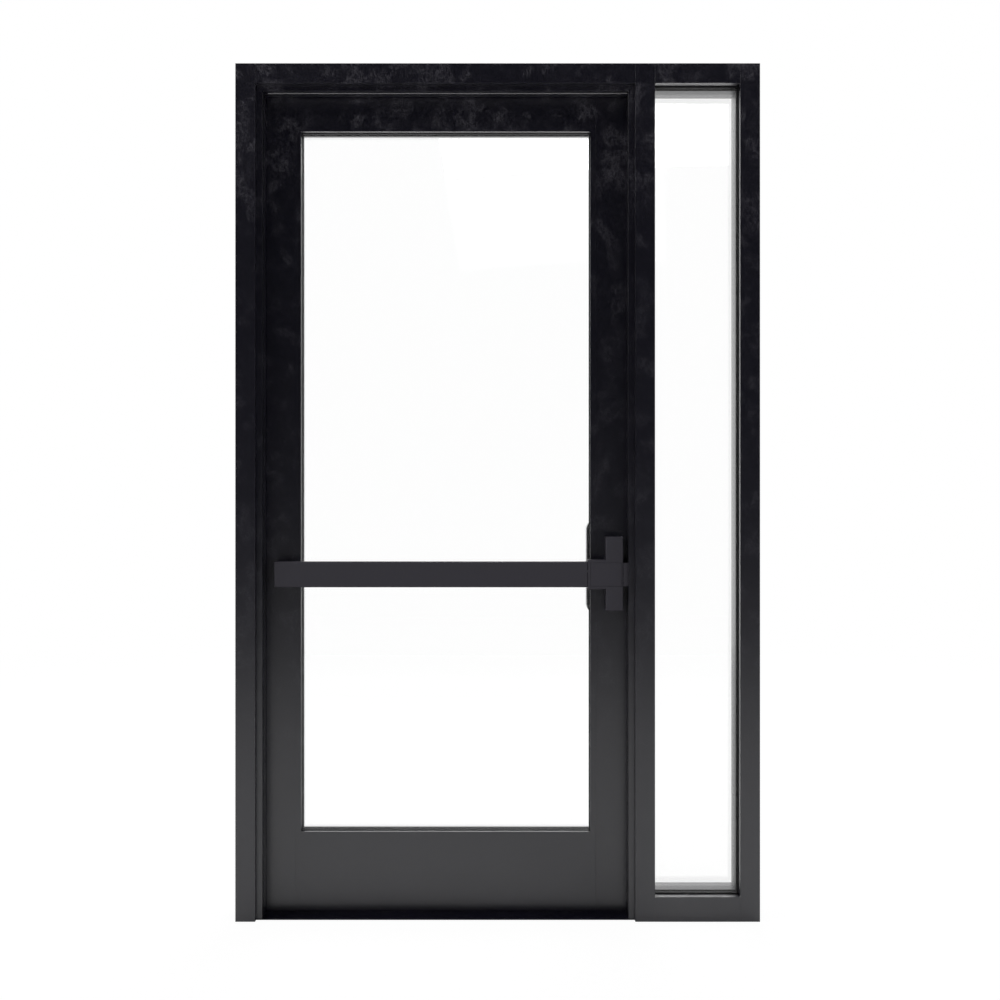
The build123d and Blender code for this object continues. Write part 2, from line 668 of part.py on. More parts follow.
def sidelite_gaskets():
    """The wedge gaskets inside and outside the sidelite's glass."""
    x = within((LITE_LEFT, LITE_RIGHT), -LITE_GASKET_BITE)
    z = within((SILL_HEIGHT, DOOR_OPENING_HEIGHT), -LITE_GASKET_BITE)
    inner = ring(x, (POCKET_FRONT, LITE_GLASS_FRONT), z, LITE_GASKET_BITE + LITE_INNER_GASKET_SHOW)
    outer = ring(x, (LITE_GLASS_REAR, POCKET_REAR), z, LITE_GASKET_BITE + LITE_OUTER_GASKET_SHOW)
    return [inner, outer]


def sidelite_setting_blocks():
    """The blocks between the sill's pocket and the glass."""
    x, z = lite_glass_spans()
    return setting_blocks(x, LITE_GLASS_MIDDLE, (SILL_HEIGHT - POCKET_DEPTH, z[0]), LITE_BLOCK_LENGTH)


def door_setting_blocks():
    """The blocks between the bottom rail and the glass."""
    x, z = door_glass_spans()
    return setting_blocks(x, LEAF_MIDDLE, (PANEL_BOTTOM, z[0]), SETTING_BLOCK_LENGTH)


def door_glass_stops(y):
    """Four hollow glass stops: the upright ones run through, the others lie between them."""
    face = DOOR_BEAD_FACE
    posts = [(RAIL_LEFT, RAIL_LEFT + face), (RAIL_RIGHT - face, RAIL_RIGHT)]
    beams = [(PANEL_BOTTOM, PANEL_BOTTOM + face), (PANEL_TOP - face, PANEL_TOP)]
    uprights = [upright(tube(x, y, DOOR_BEAD_WALL), (PANEL_BOTTOM, PANEL_TOP)) for x in posts]
    return uprights + [crosswise(tube(y, z, DOOR_BEAD_WALL), (posts[0][1], posts[1][0])) for z in beams]


def door_gaskets():
    """The glazing gaskets between the glass stops and both faces of the door's glass."""
    x = within((RAIL_LEFT, RAIL_RIGHT), DOOR_GASKET_INSET)
    z = within((PANEL_BOTTOM, PANEL_TOP), DOOR_GASKET_INSET)
    width = DOOR_BEAD_FACE - DOOR_GASKET_INSET + GASKET_SHOW
    depths = ((GLASS_FRONT - DOOR_GASKET, GLASS_FRONT), (GLASS_REAR, GLASS_REAR + DOOR_GASKET))
    return [ring(x, y, z, width) for y in depths]


# Leaf

def tie_rod_heights():
    """The middles of the kick rail and the top rail."""
    return ((LEAF_BOTTOM + KICK_TOP) / 2, (PANEL_TOP + LEAF_TOP) / 2)


def tie_rod_holes():
    """The holes for the tie rods in the inner walls of both stiles."""
    span = (RAIL_LEFT - LEAF_WALL - PAST, RAIL_RIGHT + LEAF_WALL + PAST)
    return [bar((span[0], LEAF_MIDDLE, z), TO_RIGHT, TIE_ROD_RADIUS + TIE_ROD_CLEARANCE, span[1] - span[0])
            for z in tie_rod_heights()]


def tie_rods():
    """Two rods through the rails, with a nut inside each stile."""
    pieces = []
    left, right = RAIL_LEFT - LEAF_WALL, RAIL_RIGHT + LEAF_WALL
    end = TIE_NUT_LENGTH + TIE_ROD_END
    hole = TIE_ROD_RADIUS + TIE_ROD_CLEARANCE
    for z in tie_rod_heights():
        pieces.append(bar((left - end, LEAF_MIDDLE, z), TO_RIGHT, TIE_ROD_RADIUS, right - left + 2 * end))
        pieces.append(hex_nut((left, LEAF_MIDDLE, z), TO_LEFT, TIE_NUT_RADIUS, hole, TIE_NUT_LENGTH))
        pieces.append(hex_nut((right, LEAF_MIDDLE, z), TO_RIGHT, TIE_NUT_RADIUS, hole, TIE_NUT_LENGTH))
    return pieces


def leaf_stile(x):
    """A hollow stile of the leaf's full height."""
    return upright(tube(x, (LEAF_FRONT, LEAF_REAR), LEAF_WALL), (LEAF_BOTTOM, LEAF_TOP))


def hinge_stile():
    """The hollow stile on the hinges."""
    body = leaf_stile((LEAF_LEFT, RAIL_LEFT))
    return body - hinge_mortises(1) - tie_rod_holes() - device_screw_holes()


def lock_stile():
    """The hollow stile that carries the latch, the key cylinder and the pull."""
    body = leaf_stile((RAIL_RIGHT, LEAF_RIGHT))
    behind = (CYLINDER_X, LEAF_MIDDLE, CYLINDER_Z)
    cylinder_hole = bar(behind, OUTWARD, CYLINDER_RADIUS + SCREW_CLEARANCE, LEAF_THICKNESS)
    tailpiece_hole = bar(behind, INWARD, TAILPIECE_HOLE_RADIUS, LEAF_THICKNESS)
    studs = [bar((PULL_FOOT_X, LEAF_MIDDLE, z), OUTWARD, PULL_STUD_RADIUS + SCREW_CLEARANCE, LEAF_THICKNESS)
             for z in PULL_FOOT_HEIGHTS]
    return body - [cylinder_hole, tailpiece_hole] - studs - tie_rod_holes() - device_screw_holes()


def leaf_rail(z):
    """A hollow rail between the stiles."""
    return crosswise(tube((LEAF_FRONT, LEAF_REAR), z, LEAF_WALL), (RAIL_LEFT, RAIL_RIGHT))


def kick_rail():
    """The lowest rail, with a groove for the sweep in its underside."""
    z = (LEAF_BOTTOM, KICK_TOP)
    slot = around(LEAF_MIDDLE, SWEEP_WIDTH)
    trough = patch(within(slot, -LEAF_WALL), (LEAF_BOTTOM, LEAF_BOTTOM + SWEEP_GROOVE + LEAF_WALL))
    section = tube((LEAF_FRONT, LEAF_REAR), z, LEAF_WALL) + trough
    groove = patch(slot, (LEAF_BOTTOM - PAST, LEAF_BOTTOM + SWEEP_GROOVE))
    return crosswise(section - groove, (RAIL_LEFT, RAIL_RIGHT))


def door_sweep():
    """The brush strip under the leaf, just clear of the threshold."""
    z = (THRESHOLD_HEIGHT + SWEEP_CLEARANCE, LEAF_BOTTOM + SWEEP_GROOVE)
    return block((RAIL_LEFT, RAIL_RIGHT), around(LEAF_MIDDLE, SWEEP_WIDTH), z)


# Exit device

def device_screw_places():
    """Where the shanks start under the heads: four in the rail and four in the chassis plate."""
    rise = RAIL_HEIGHT / 2 - RAIL_WALL - 2 * DEVICE_SCREW_HEAD
    rail = [(x, RAIL_BACK, DEVICE_HEIGHT + side * rise)
            for x in (RAIL_START + RAIL_SEAT, (RAIL_RIGHT + RAIL_END) / 2) for side in (-1, 1)]
    reach = CASE_HEIGHT / 2 - CASE_WALL - 3 * DEVICE_SCREW_HEAD
    case = [(x, CHASSIS_FRONT, CASE_HEIGHT_MIDDLE + side * reach)
            for x in around(CYLINDER_X, CASE_WIDTH / 2) for side in (-1, 1)]
    return rail + case


def device_screw_holes():
    """The holes for the device's screws."""
    return [bar(place, OUTWARD, DEVICE_SCREW_RADIUS + SCREW_CLEARANCE, DEVICE_SCREW_LENGTH + PAST)
            for place in device_screw_places()]


def device_screws():
    """The pan head screws that hold rail and chassis on the stiles."""
    screws = []
    for place in device_screw_places():
        shank = bar(place, OUTWARD, DEVICE_SCREW_RADIUS, DEVICE_SCREW_LENGTH)
        screws.append(shank + bar(place, INWARD, DEVICE_SCREW_HEAD, DEVICE_SCREW_HEAD_HEIGHT))
    return screws


def device_rail():
    """The channel behind the push bar, screwed to both stiles."""
    height = around(DEVICE_HEIGHT, RAIL_HEIGHT)
    channel = patch((RAIL_FRONT - PAST, RAIL_BACK), within(height, RAIL_WALL))
    section = patch((RAIL_FRONT, LEAF_FRONT), height) - channel
    hole_radius = BUSH_RADIUS + GUIDE_POST_CLEARANCE
    holes = [bar((x, RAIL_BACK - PAST, DEVICE_HEIGHT), OUTWARD, hole_radius, RAIL_WALL + 2 * PAST)
             for x in BAR_POST_PLACES]
    return crosswise(section, (RAIL_START, RAIL_END)) - holes - device_screw_holes()


def guide_bushes():
    """Two flanged bushes in the rail that the bar's posts run in."""
    bore = GUIDE_POST_RADIUS + GUIDE_POST_CLEARANCE
    bushes = []
    for x in BAR_POST_PLACES:
        start = (x, RAIL_BACK - BUSH_FLANGE, DEVICE_HEIGHT)
        bush = bar(start, OUTWARD, BUSH_FLANGE_RADIUS, BUSH_FLANGE)
        bush += bar(start, OUTWARD, BUSH_RADIUS, BUSH_FLANGE + RAIL_WALL)
        bushes.append(bush - bar((x, DEVICE_FRONT, DEVICE_HEIGHT), OUTWARD, bore, DEVICE_PROJECTION + PAST))
    return bushes


def return_springs():
    """Two coil springs round the posts, each as the sleeve that its coils fill."""
    length = RAIL_BACK - BUSH_FLANGE - BAR_INNER
    section = Circle(SPRING_RADIUS) - Circle(SPRING_RADIUS - SPRING_WALL)
    return [extrude(Plane(origin=(x, BAR_INNER, DEVICE_HEIGHT), z_dir=OUTWARD) * section, length)
            for x in BAR_POST_PLACES]


def push_bar():
    """The bar that is pressed: a rounded channel over the rail."""
    height = around(DEVICE_HEIGHT, BAR_HEIGHT)
    outer = patch((DEVICE_FRONT, BAR_REAR), height)
    outer = fillet(outer.vertices().group_by(Axis.X)[0], BAR_EDGE_RADIUS)
    inner = patch((BAR_INNER, BAR_REAR + PAST), within(height, BAR_WALL))
    inner = fillet(inner.vertices().group_by(Axis.X)[0], BAR_EDGE_RADIUS - BAR_WALL)
    return crosswise(outer - inner, (BAR_LEFT, BAR_RIGHT))


def bar_end_cap():
    """The plug that closes the bar's free end."""
    inner = patch((BAR_INNER, BAR_REAR), around(DEVICE_HEIGHT, BAR_HEIGHT - 2 * BAR_WALL))
    inner = fillet(inner.vertices().group_by(Axis.X)[0], BAR_EDGE_RADIUS - BAR_WALL)
    return crosswise(inner, (BAR_LEFT, BAR_LEFT + END_CAP_THICKNESS))


def bar_guide_posts():
    """Two posts behind the bar that keep it square to the door."""
    length = LEAF_FRONT - GUIDE_POST_END_GAP - BAR_INNER
    return [bar((x, BAR_INNER, DEVICE_HEIGHT), OUTWARD, GUIDE_POST_RADIUS, length) for x in BAR_POST_PLACES]


def crank_span(gap=0.0):
    """The crank plate's height span, widened by a gap."""
    return around(DEVICE_HEIGHT, CRANK_THICKNESS + 2 * gap)


def bar_actuator():
    """The arm from the bar's inside into the case, with the pin that turns the crank."""
    pin_x = CRANK_X - CRANK_ARM
    pin_y = CRANK_Y - HALF_TRAVEL
    top = crank_span(CRANK_PLAY)[1]
    foot_x = (BAR_RIGHT - ACTUATOR_FOOT_INSET - ACTUATOR_FOOT_LENGTH, BAR_RIGHT - ACTUATOR_FOOT_INSET)
    foot = block(foot_x, (BAR_INNER, pin_y + ACTUATOR_DEPTH / 2), around(top, ACTUATOR_FOOT_HEIGHT))
    arm_x = (foot_x[0], pin_x + ACTUATOR_TIP)
    arm = block(arm_x, around(pin_y, ACTUATOR_DEPTH), (top, top + ACTUATOR_THICKNESS))
    pin = bar((pin_x, pin_y, top + ACTUATOR_THICKNESS / 2), DOWN, CRANK_PIN_RADIUS,
              CRANK_THICKNESS + CRANK_PLAY + ACTUATOR_THICKNESS / 2)
    return foot + arm + pin


def latch_crank():
    """The bell crank that turns the bar's push into the latch's pull."""
    width = 2 * (CRANK_PIN_RADIUS + CRANK_SLOT_CLEARANCE + CRANK_ARM_WALL)
    turn = degrees(atan2(HALF_TRAVEL, CRANK_ARM))
    outline = Circle(CRANK_HUB_RADIUS)
    slots = []
    for heading in (180 + turn, 270 + turn):
        arm = patch((0, CRANK_ARM_REACH), around(0, width)) + Pos(CRANK_ARM_REACH, 0) * Circle(width / 2)
        slot = patch((CRANK_SLOT_START, CRANK_ARM_REACH + width), around(0, width - 2 * CRANK_ARM_WALL))
        outline += Rot(0, 0, heading) * arm
        slots.append(Rot(0, 0, heading) * slot)
    outline -= slots
    outline -= Circle(PIVOT_PIN_RADIUS + PIVOT_CLEARANCE)
    return upright(Pos(CRANK_X, CRANK_Y) * outline, crank_span())


def crank_pin():
    """The pivot pin between the chassis ears."""
    span = crank_span(CRANK_PLAY + EAR_THICKNESS)
    return bar((CRANK_X, CRANK_Y, span[0]), UP, PIVOT_PIN_RADIUS, span[1] - span[0])


def device_chassis():
    """The plate on the lock stile, with the crank's ears and the latch's guides."""
    margin = CASE_WALL + CHASSIS_EDGE
    depth = (CHASSIS_FRONT, LEAF_FRONT)
    x = within((CASE_LEFT, CASE_RIGHT), margin)
    z = within(around(CASE_HEIGHT_MIDDLE, CASE_HEIGHT), margin)
    body = block(x, depth, z)
    wide_z = within(around(DEVICE_HEIGHT, HOUSING_HEIGHT), margin)
    body += block((RAIL_END + CHASSIS_EDGE, x[1]), depth, wide_z)
    ear_x = around(CRANK_X, 2 * CRANK_HUB_RADIUS)
    ear_y = (CRANK_Y - CRANK_HUB_RADIUS, CHASSIS_FRONT)
    gap = crank_span(CRANK_PLAY)
    for ear in ((gap[0] - EAR_THICKNESS, gap[0]), (gap[1], gap[1] + EAR_THICKNESS)):
        body += block(ear_x, ear_y, ear)
    guide_x = (LATCH_HEEL + LATCH_GUIDE_INSET, x[1])
    low, high = around(DEVICE_HEIGHT, LATCH_HEIGHT + 2 * LATCH_GUIDE_GAP)
    for guide in ((low - LATCH_GUIDE_THICKNESS, low), (high, high + LATCH_GUIDE_THICKNESS)):
        body += block(guide_x, (LATCH_FRONT, CHASSIS_FRONT), guide)
    pad_y = (LATCH_REAR + LATCH_GUIDE_GAP, CHASSIS_FRONT)
    body += block(guide_x, pad_y, around(DEVICE_HEIGHT, LATCH_HEIGHT / 2))
    pivot = bar((CRANK_X, CRANK_Y, z[0]), UP, PIVOT_PIN_RADIUS + PIVOT_CLEARANCE, z[1] - z[0])
    tail_start = (CYLINDER_X, CHASSIS_FRONT - PAST, CYLINDER_Z)
    tail = bar(tail_start, OUTWARD, TAILPIECE_HOLE_RADIUS, CHASSIS_PLATE + 2 * PAST)
    return body - [pivot, tail] - device_screw_holes()


def latch_bolt():
    """The sliding latch: square behind, bevelled in front, with a tongue and pin for the crank."""
    nose = LATCH_REAR - LATCH_NOSE
    outline = Polygon((LATCH_HEEL, LATCH_FRONT), (CASE_RIGHT, LATCH_FRONT), (LATCH_TIP, nose),
                      (LATCH_TIP, LATCH_REAR), (LATCH_HEEL, LATCH_REAR), align=None)
    bolt = upright(outline, around(DEVICE_HEIGHT, LATCH_HEIGHT))
    pin_x = CRANK_X + HALF_TRAVEL
    pin_y = CRANK_Y - CRANK_ARM
    low, high = crank_span(CRANK_PLAY)
    tongue_y = (LATCH_FRONT, LATCH_FRONT + TONGUE_DEPTH)
    bolt += block((LATCH_HEEL - TONGUE_REACH, LATCH_HEEL), tongue_y, (low - TONGUE_THICKNESS, low))
    start = (pin_x, pin_y, low - TONGUE_THICKNESS)
    return bolt + bar(start, UP, CRANK_PIN_RADIUS, high - low + TONGUE_THICKNESS)


def face_plate_spans(gap=0.0):
    """The X and Z spans of the face plate, or of its recess when a gap is given."""
    right = CASE_RIGHT - FACE_PLATE_INSET
    z = within(around(DEVICE_HEIGHT, FACE_PLATE_HEIGHT), -gap)
    return within((right - FACE_PLATE_LENGTH, right), -gap), z


def device_cover():
    """The cast cover over latch and crank: a tall case with a wider housing behind the bar's end."""
    depth = (DEVICE_FRONT, LEAF_FRONT)
    inner_depth = (DEVICE_FRONT + CASE_WALL, LEAF_FRONT + PAST)
    housing = ((HOUSING_LEFT, CASE_RIGHT), around(DEVICE_HEIGHT, HOUSING_HEIGHT))
    case = ((CASE_LEFT, CASE_RIGHT), around(CASE_HEIGHT_MIDDLE, CASE_HEIGHT))
    shell = block(housing[0], depth, housing[1]) + block(case[0], depth, case[1])
    shell = chamfer(shell.faces().sort_by(Axis.Y)[0].edges(), CASE_CHAMFER)
    for x, z in (housing, case):
        shell -= block(within(x, CASE_WALL), inner_depth, within(z, CASE_WALL))
    x, z = face_plate_spans(FACE_PLATE_GAP)
    shell -= block(x, (DEVICE_FRONT - PAST, DEVICE_FRONT + FACE_PLATE_THICKNESS), z)
    mouth_z = around(DEVICE_HEIGHT, RAIL_HEIGHT + 2 * RAIL_CLEARANCE)
    shell -= block((HOUSING_LEFT - PAST, HOUSING_LEFT + CASE_WALL + PAST), inner_depth, mouth_z)
    slot_y = within((LATCH_FRONT, LATCH_REAR), -LATCH_SLOT_CLEARANCE)
    slot_z = around(DEVICE_HEIGHT, LATCH_HEIGHT + 2 * LATCH_SLOT_CLEARANCE)
    return shell - block((CASE_RIGHT - CASE_WALL - PAST, CASE_RIGHT + PAST), slot_y, slot_z)


def device_face_plate():
    """The thin plate let into the front of the cover."""
    x, z = face_plate_spans()
    return block(x, (DEVICE_FRONT, DEVICE_FRONT + FACE_PLATE_THICKNESS), z)


# Strike

def strike_screw_places():
    """Where the strike's screws enter, in its pocket."""
    y = (LATCH_FRONT + LATCH_REAR) / 2
    return [(STRIKE_RIGHT - STRIKE_WALL, y, z) for z in around(DEVICE_HEIGHT, STRIKE_SCREW_SPACING)]


def strike():
    """The keeper on the mullion stop: a front wall, a back plate and the lip that holds the latch."""
    lip_front = LATCH_REAR + STRIKE_CATCH_GAP
    lip_rear = lip_front + STRIKE_LIP_THICKNESS
    lip_left = STRIKE_RIGHT - STRIKE_LIP_FACE
    outline = patch((STRIKE_LEFT, STRIKE_RIGHT), (DEVICE_FRONT, DEVICE_FRONT + STRIKE_WALL))
    outline += patch((STRIKE_RIGHT - STRIKE_WALL, STRIKE_RIGHT), (DEVICE_FRONT, lip_rear))
    outline += Polygon((lip_left, lip_front), (STRIKE_RIGHT, lip_front), (STRIKE_RIGHT, lip_rear),
                       (lip_left + STRIKE_CHAMFER, lip_rear), (lip_left, lip_rear - STRIKE_CHAMFER),
                       align=None)
    body = upright(outline, around(DEVICE_HEIGHT, STRIKE_HEIGHT))
    return body - [flat_screw(place, TO_RIGHT, DEVICE_SCREW_RADIUS, DEVICE_SCREW_HEAD, STRIKE_SCREW_LENGTH,
                              SCREW_CLEARANCE) for place in strike_screw_places()]


def strike_screws():
    """Two countersunk screws through the strike into the stop."""
    return [flat_screw(place, TO_RIGHT, DEVICE_SCREW_RADIUS, DEVICE_SCREW_HEAD, STRIKE_SCREW_LENGTH)
            for place in strike_screw_places()]


# Outside pull and key cylinder

def pull_handle():
    """The offset pull: one bent bar whose grip stands towards the glass."""
    low, high = PULL_FOOT_HEIGHTS
    grip_x = PULL_FOOT_X - PULL_OFFSET
    grip = around((low + high) / 2, PULL_GRIP_LENGTH)
    points = [(PULL_FOOT_X, LEAF_REAR, high), (PULL_FOOT_X, PULL_Y, high), (grip_x, PULL_Y, grip[1]),
              (grip_x, PULL_Y, grip[0]), (PULL_FOOT_X, PULL_Y, low), (PULL_FOOT_X, LEAF_REAR, low)]
    path = FilletPolyline(*points, radius=PULL_BEND_RADIUS)
    body = sweep(Plane(origin=points[0], z_dir=OUTWARD) * Circle(PULL_RADIUS), path)
    return body - [bar((PULL_FOOT_X, LEAF_REAR - PAST, z), OUTWARD, PULL_STUD_RADIUS + SCREW_CLEARANCE,
                       PULL_STUD_DEPTH + PAST) for z in PULL_FOOT_HEIGHTS]


def pull_studs():
    """The studs in the pull's feet and their nuts inside the stile."""
    seat = LEAF_REAR - LEAF_WALL
    start = seat - PULL_NUT_LENGTH
    length = LEAF_REAR + PULL_STUD_DEPTH - start
    hole = PULL_STUD_RADIUS + SCREW_CLEARANCE
    pieces = []
    for z in PULL_FOOT_HEIGHTS:
        pieces.append(bar((PULL_FOOT_X, start, z), OUTWARD, PULL_STUD_RADIUS, length))
        pieces.append(hex_nut((PULL_FOOT_X, seat, z), INWARD, PULL_NUT_RADIUS, hole, PULL_NUT_LENGTH))
    return pieces


def cylinder_body():
    """The rim cylinder's housing with its collar outside the door."""
    start = (CYLINDER_X, LEAF_REAR - CYLINDER_LENGTH, CYLINDER_Z)
    collar = bar((CYLINDER_X, LEAF_REAR, CYLINDER_Z), OUTWARD, CYLINDER_COLLAR_RADIUS, CYLINDER_COLLAR)
    rim = collar.edges().filter_by(GeomType.CIRCLE).sort_by(Axis.Y)[-1]
    collar = chamfer(rim, COLLAR_CHAMFER)
    body = collar + bar(start, OUTWARD, CYLINDER_RADIUS, CYLINDER_LENGTH + CYLINDER_COLLAR / 2)
    bore_length = CYLINDER_LENGTH + CYLINDER_COLLAR + PAST
    return body - bar(start, OUTWARD, PLUG_RADIUS + PLUG_CLEARANCE, bore_length)


def cylinder_plug():
    """The plug that the key turns, with its keyway and the tailpiece into the case."""
    face = LEAF_REAR + CYLINDER_COLLAR
    inner_end = LEAF_REAR - CYLINDER_LENGTH
    plug = bar((CYLINDER_X, inner_end, CYLINDER_Z), OUTWARD, PLUG_RADIUS, face - inner_end)
    plug += bar((CYLINDER_X, face, CYLINDER_Z), OUTWARD, PLUG_RADIUS + PLUG_FACE, PLUG_FACE)
    tail_y = (CHASSIS_FRONT - TAILPIECE_REACH, inner_end + PAST)
    plug += block(around(CYLINDER_X, TAILPIECE_THICKNESS), tail_y, around(CYLINDER_Z, TAILPIECE_WIDTH))
    keyway_y = (face - KEYWAY_DEPTH, face + PLUG_FACE + PAST)
    return plug - block(around(CYLINDER_X, KEYWAY_WIDTH), keyway_y, around(CYLINDER_Z, KEYWAY_HEIGHT))


def all_nodes():
    """Every sub-part by name: one solid, or a list for a group of like pieces."""
    lite_x, lite_z = lite_glass_spans()
    lite_inner, lite_outer, lite_spacer = glass_unit(lite_x, LITE_GLASS_MIDDLE, lite_z)
    door_x, door_z = door_glass_spans()
    door_inner, door_outer, door_spacer = glass_unit(door_x, LEAF_MIDDLE, door_z)
    return {
        "hinge_jamb": hinge_jamb(),
        "mullion": mullion(),
        "sidelite_jamb": sidelite_jamb(),
        "door_header": door_header(),
        "sidelite_header": sidelite_header(),
        "sidelite_sill": sidelite_sill(),
        "sidelite_glass_stops": sidelite_beads(),
        "threshold": threshold(),
        "hinge_jamb_stop": along_hinge_jamb(stop_section(), DOOR_OPENING_HEIGHT),
        "mullion_stop": mullion_stop(),
        "header_stop": along_header(stop_section(), within((HINGE_SIDE, LOCK_SIDE), STOP_FACE)),
        "side_stop_piles": side_stop_piles(),
        "header_stop_pile": header_stop_pile(),
        "stop_seals": stop_seals(),
        "sidelite_inner_pane": lite_inner,
        "sidelite_outer_pane": lite_outer,
        "sidelite_spacer": lite_spacer,
        "sidelite_gaskets": sidelite_gaskets(),
        "sidelite_setting_blocks": sidelite_setting_blocks(),
        "strike": strike(),
        "strike_screws": strike_screws(),
        "frame_hinge_leaves": hinge_leaves(-1),
        "frame_hinge_backers": hinge_backers(-1, FRAME_WALL),
        "frame_hinge_screws": hinge_screws(-1),
        "hinge_pins": hinge_pins(),
        "hinge_stile": hinge_stile(),
        "lock_stile": lock_stile(),
        "top_rail": leaf_rail((PANEL_TOP, LEAF_TOP)),
        "bottom_rail": leaf_rail((KICK_TOP, PANEL_BOTTOM)),
        "kick_rail": kick_rail(),
        "inner_glass_stops": door_glass_stops((LEAF_FRONT, GLASS_FRONT - DOOR_GASKET)),
        "outer_glass_stops": door_glass_stops((GLASS_REAR + DOOR_GASKET, LEAF_REAR)),
        "door_inner_pane": door_inner,
        "door_outer_pane": door_outer,
        "door_spacer": door_spacer,
        "door_gaskets": door_gaskets(),
        "door_setting_blocks": door_setting_blocks(),
        "door_sweep": door_sweep(),
        "tie_rods": tie_rods(),
        "door_hinge_leaves": hinge_leaves(1),
        "door_hinge_backers": hinge_backers(1, LEAF_WALL),
        "door_hinge_screws": hinge_screws(1),
        "device_rail": device_rail(),
        "guide_bushes": guide_bushes(),
        "return_springs": return_springs(),
        "device_chassis": device_chassis(),
        "crank_pin": crank_pin(),
        "device_cover": device_cover(),
        "device_face_plate": device_face_plate(),
        "device_screws": device_screws(),
        "pull_handle": pull_handle(),
        "pull_studs": pull_studs(),
        "cylinder_body": cylinder_body(),
        "cylinder_plug": cylinder_plug(),
        "push_bar": push_bar(),
        "bar_end_cap": bar_end_cap(),
        "bar_guide_posts": bar_guide_posts(),
        "bar_actuator": bar_actuator(),
        "latch_bolt": latch_bolt(),
        "latch_crank": latch_crank(),
    }


def main():
    """Writes one STEP file for each sub-part."""
    os.makedirs("parts", exist_ok=True)
    for name, shape in all_nodes().items():
        pieces = shape if isinstance(shape, list) else [shape]
        body = pieces[0] if len(pieces) == 1 else Compound(children=pieces)
        export_step(body, os.path.join("parts", f"{name}.step"))


main()
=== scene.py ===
"""Looks of a storefront door in its frame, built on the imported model.

Seen from the push side: +X is to the right, +Y goes through the door to the outside and +Z is up.
Lengths are in metres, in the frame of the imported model.
"""

import logging
import math
import random
from dataclasses import dataclass, field
from enum import Enum
from typing import Any, Optional, Sequence

import bmesh
import bpy
from mathutils import Matrix, Vector
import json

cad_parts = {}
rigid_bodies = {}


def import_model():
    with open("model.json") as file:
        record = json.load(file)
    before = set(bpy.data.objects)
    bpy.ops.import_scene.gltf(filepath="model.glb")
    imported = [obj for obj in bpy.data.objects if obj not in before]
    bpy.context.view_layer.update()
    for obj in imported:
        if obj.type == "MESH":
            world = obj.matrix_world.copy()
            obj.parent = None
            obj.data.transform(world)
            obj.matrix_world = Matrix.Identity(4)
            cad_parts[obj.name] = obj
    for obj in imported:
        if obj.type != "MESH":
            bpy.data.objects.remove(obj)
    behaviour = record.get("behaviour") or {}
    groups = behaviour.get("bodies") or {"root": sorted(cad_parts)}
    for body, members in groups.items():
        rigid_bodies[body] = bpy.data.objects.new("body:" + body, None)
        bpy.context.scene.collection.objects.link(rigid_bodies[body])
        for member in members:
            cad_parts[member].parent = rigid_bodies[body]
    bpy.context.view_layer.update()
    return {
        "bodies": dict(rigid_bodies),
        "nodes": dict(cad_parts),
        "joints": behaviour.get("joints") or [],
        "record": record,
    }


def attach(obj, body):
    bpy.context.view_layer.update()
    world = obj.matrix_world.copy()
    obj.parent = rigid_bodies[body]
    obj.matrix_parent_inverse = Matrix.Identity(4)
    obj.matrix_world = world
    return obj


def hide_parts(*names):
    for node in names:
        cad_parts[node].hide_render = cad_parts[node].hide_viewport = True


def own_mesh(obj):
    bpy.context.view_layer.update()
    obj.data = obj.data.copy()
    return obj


LOG = logging.getLogger("storefront_door")

Colour = tuple[float, float, float]
Paint = tuple[float, float, float, float]
Point = tuple[float, float, float]
Span = tuple[float, float]

WHITE: Paint = (1.0, 1.0, 1.0, 1.0)
NO_SHIFT: Point = (0.0, 0.0, 0.0)
NO_SCALE: Point = (1.0, 1.0, 1.0)


def solid(colour: Colour) -> Paint:
    """Returns a colour with full alpha."""
    return (*colour, 1.0)


def grey(tone: float) -> Paint:
    """Returns a neutral grey of one tone."""
    return (tone, tone, tone, 1.0)


class Body(Enum):
    """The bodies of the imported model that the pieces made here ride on."""

    FRAME = "frame"
    LEAF = "leaf"


class Channel(Enum):
    """What a shader group's output carries, by the type of its socket."""

    COLOUR = "NodeSocketColor"
    NUMBER = "NodeSocketFloat"


@dataclass(frozen=True)
class Ramp:
    """A span of values and the span that it maps to, with clamped ends."""

    low: float
    high: float
    start: float = 0.0
    end: float = 1.0


@dataclass(frozen=True)
class Noise:
    """A fractal noise: waves a metre, octaves, strength of the finer ones and how far it is pulled about."""

    scale: float
    detail: float = 4.0
    roughness: float = 0.5
    distortion: float = 0.0


